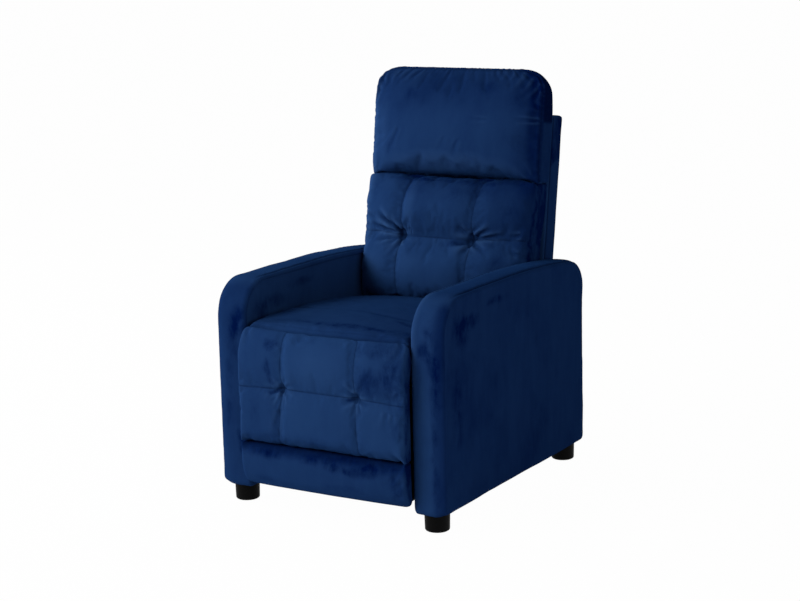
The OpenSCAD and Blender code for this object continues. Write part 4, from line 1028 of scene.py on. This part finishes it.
for name, sign, node in (("leftArm", 1, "left_arm_cover"), ("rightArm", -1, "right_arm_cover")):
    finishPad(makeArm(name, sign), "base", node)
print("arms made")

panel = {"cuts": (76, 16, 96), "half": 240, "low": -38, "high": 627, "thick": 63, "edge": 9, "sideSeam": 26}


def panelShape(p):
    q = roundBox(p, (panel["half"], panel["thick"] / 2, (panel["high"] - panel["low"]) / 2), panel["edge"])
    return q, leaned(q[:, 0], panel["thick"] / 2 - q[:, 1], q[:, 2] + (panel["high"] + panel["low"]) / 2)


def makePanel():
    obj = shapedGrid("backPanel", panel["cuts"], panelShape)
    rest = subdivided(obj)
    # the boxing round the edge is sewn to the rear and front faces
    hz = (panel["high"] - panel["low"]) / 2
    rim = np.maximum(np.abs(rest[:, 0]) - panel["half"], np.abs(rest[:, 2]) - hz)
    onSide = np.clip((rim + 3) / 2, 0, 1)
    seamGap = np.abs(np.abs(rest[:, 1]) - panel["sideSeam"])
    slack = 0.9 * softNoise(rest, 80, 81) + 0.4 * softNoise(rest, 30, 82)
    pressIn(obj, onSide * 2.4 * ridge(seamGap, 2.2) + slack)
    keepShade(obj, "seamAndCreaseShade", onSide * ridge(seamGap, 2))
    keepShade(obj, "crushedPileAndShade", 0.3 * (softNoise(rest, 120, 83) > 0.2))
    # painted shade on the boxing round the edge
    keepShade(obj, "paintedShade", 0.5 * onSide)
    return obj


finishPad(makePanel(), "back", "back_shell")

skirt = {"cuts": (70, 4, 40), "half": 243.4, "low": 56, "high": 318, "y": 730.4, "thick": 16, "edge": 6}


def skirtShape(p):
    q = roundBox(p, (skirt["half"], skirt["thick"] / 2, (skirt["high"] - skirt["low"]) / 2), skirt["edge"])
    y = q[:, 1] + skirt["y"] + skirt["thick"] / 2
    return q, upright(q[:, 0], y, q[:, 2] + (skirt["high"] + skirt["low"]) / 2)


def makeSkirt():
    obj = shapedGrid("rearSkirt", skirt["cuts"], skirtShape)
    rest = subdivided(obj)
    pressIn(obj, 0.8 * softNoise(rest, 60, 91) * np.clip(rest[:, 1] / 4, 0, 1))
    return obj


finishPad(makeSkirt(), "base", "rear_skirt")
print("back panel and skirt made")

studio = {
    "floorSize": 120, "floorShade": (0.82, 0.82, 0.82, 1), "floorWhite": 0.985, "worldStrength": 0.22,
    # place, power and size of each lamp, all turned to the middle of the chair
    "aim": (0, 0, 0.5),
    "lamps": {
        "keyLight": ((-2.8, -3.5, 2.6), 138, (2.6, 1.8)),
        "sideLight": ((-4.3, -0.3, 1.9), 80, (1.6, 1.8)),
        "fillLight": ((4.2, -1.5, 1.5), 32, (1.8, 1.6)),
    },
}


def seenWhite(tree):
    # 1 for what the camera sees, straight on or in a gloss or through glass, and 0 for lighting
    path = addNode(tree, "ShaderNodeLightPath", {}).outputs
    straight = maths(tree, "MAXIMUM", path["Is Camera Ray"], path["Is Transmission Ray"])
    return maths(tree, "MAXIMUM", straight, path["Is Glossy Ray"])


bpy.ops.object.select_all(action="DESELECT")
bpy.ops.mesh.primitive_plane_add(size=studio["floorSize"], location=(0, 0, 0))
floor = bpy.context.object
floor.name = "floor"
floorMat, tree, shader = newMaterial("paleFloor")
shader.inputs["Base Color"].default_value = studio["floorShade"]
shader.inputs["Roughness"].default_value = 0.9
glow = addNode(tree, "ShaderNodeEmission", {"Strength": 1}).outputs[0]
white = maths(tree, "MULTIPLY", seenWhite(tree), studio["floorWhite"])
surface = addNode(tree, "ShaderNodeMixShader", {0: white, 1: shader.outputs[0], 2: glow}).outputs[0]
tree.links.new(surface, tree.nodes["Material Output"].inputs["Surface"])
floor.data.materials.append(floorMat)

world = bpy.data.worlds.new("studioWorld")
scene.world = world
world.use_nodes = True
tree = world.node_tree
background = tree.nodes["Background"]
background.inputs["Color"].default_value = (1, 1, 1, 1)
tree.links.new(between(tree, seenWhite(tree), studio["worldStrength"], 1), background.inputs["Strength"])

for name, (place, power, size) in studio["lamps"].items():
    bpy.ops.object.light_add(type="AREA", location=place)
    lamp = bpy.context.object
    lamp.name = name
    lamp.data.energy = power
    lamp.data.shape = "RECTANGLE"
    lamp.data.size, lamp.data.size_y = size
    lamp.rotation_euler = (Vector(studio["aim"]) - Vector(place)).to_track_quat("-Z", "Y").to_euler()

camera = {
    "place": (2.4394, -4.0375, 1.4469), "forward": (-0.50971, 0.83638, -0.20163), "roll": -1.3285,
    "lens": 83.44, "sensor": 36,
}
bpy.ops.object.camera_add()
cam = bpy.context.object
cam.name = "photoCamera"
forward = Vector(camera["forward"]).normalized()
level = forward.cross(Vector((0, 0, 1))).normalized()
above = level.cross(forward)
roll = math.radians(camera["roll"])
right = math.cos(roll) * level + math.sin(roll) * above
up = math.cos(roll) * above - math.sin(roll) * level
view = Matrix((right, up, -forward)).transposed().to_4x4()
view.translation = camera["place"]
cam.matrix_world = view
cam.data.lens = camera["lens"]
cam.data.sensor_width = camera["sensor"]
scene.camera = cam
print("studio made")
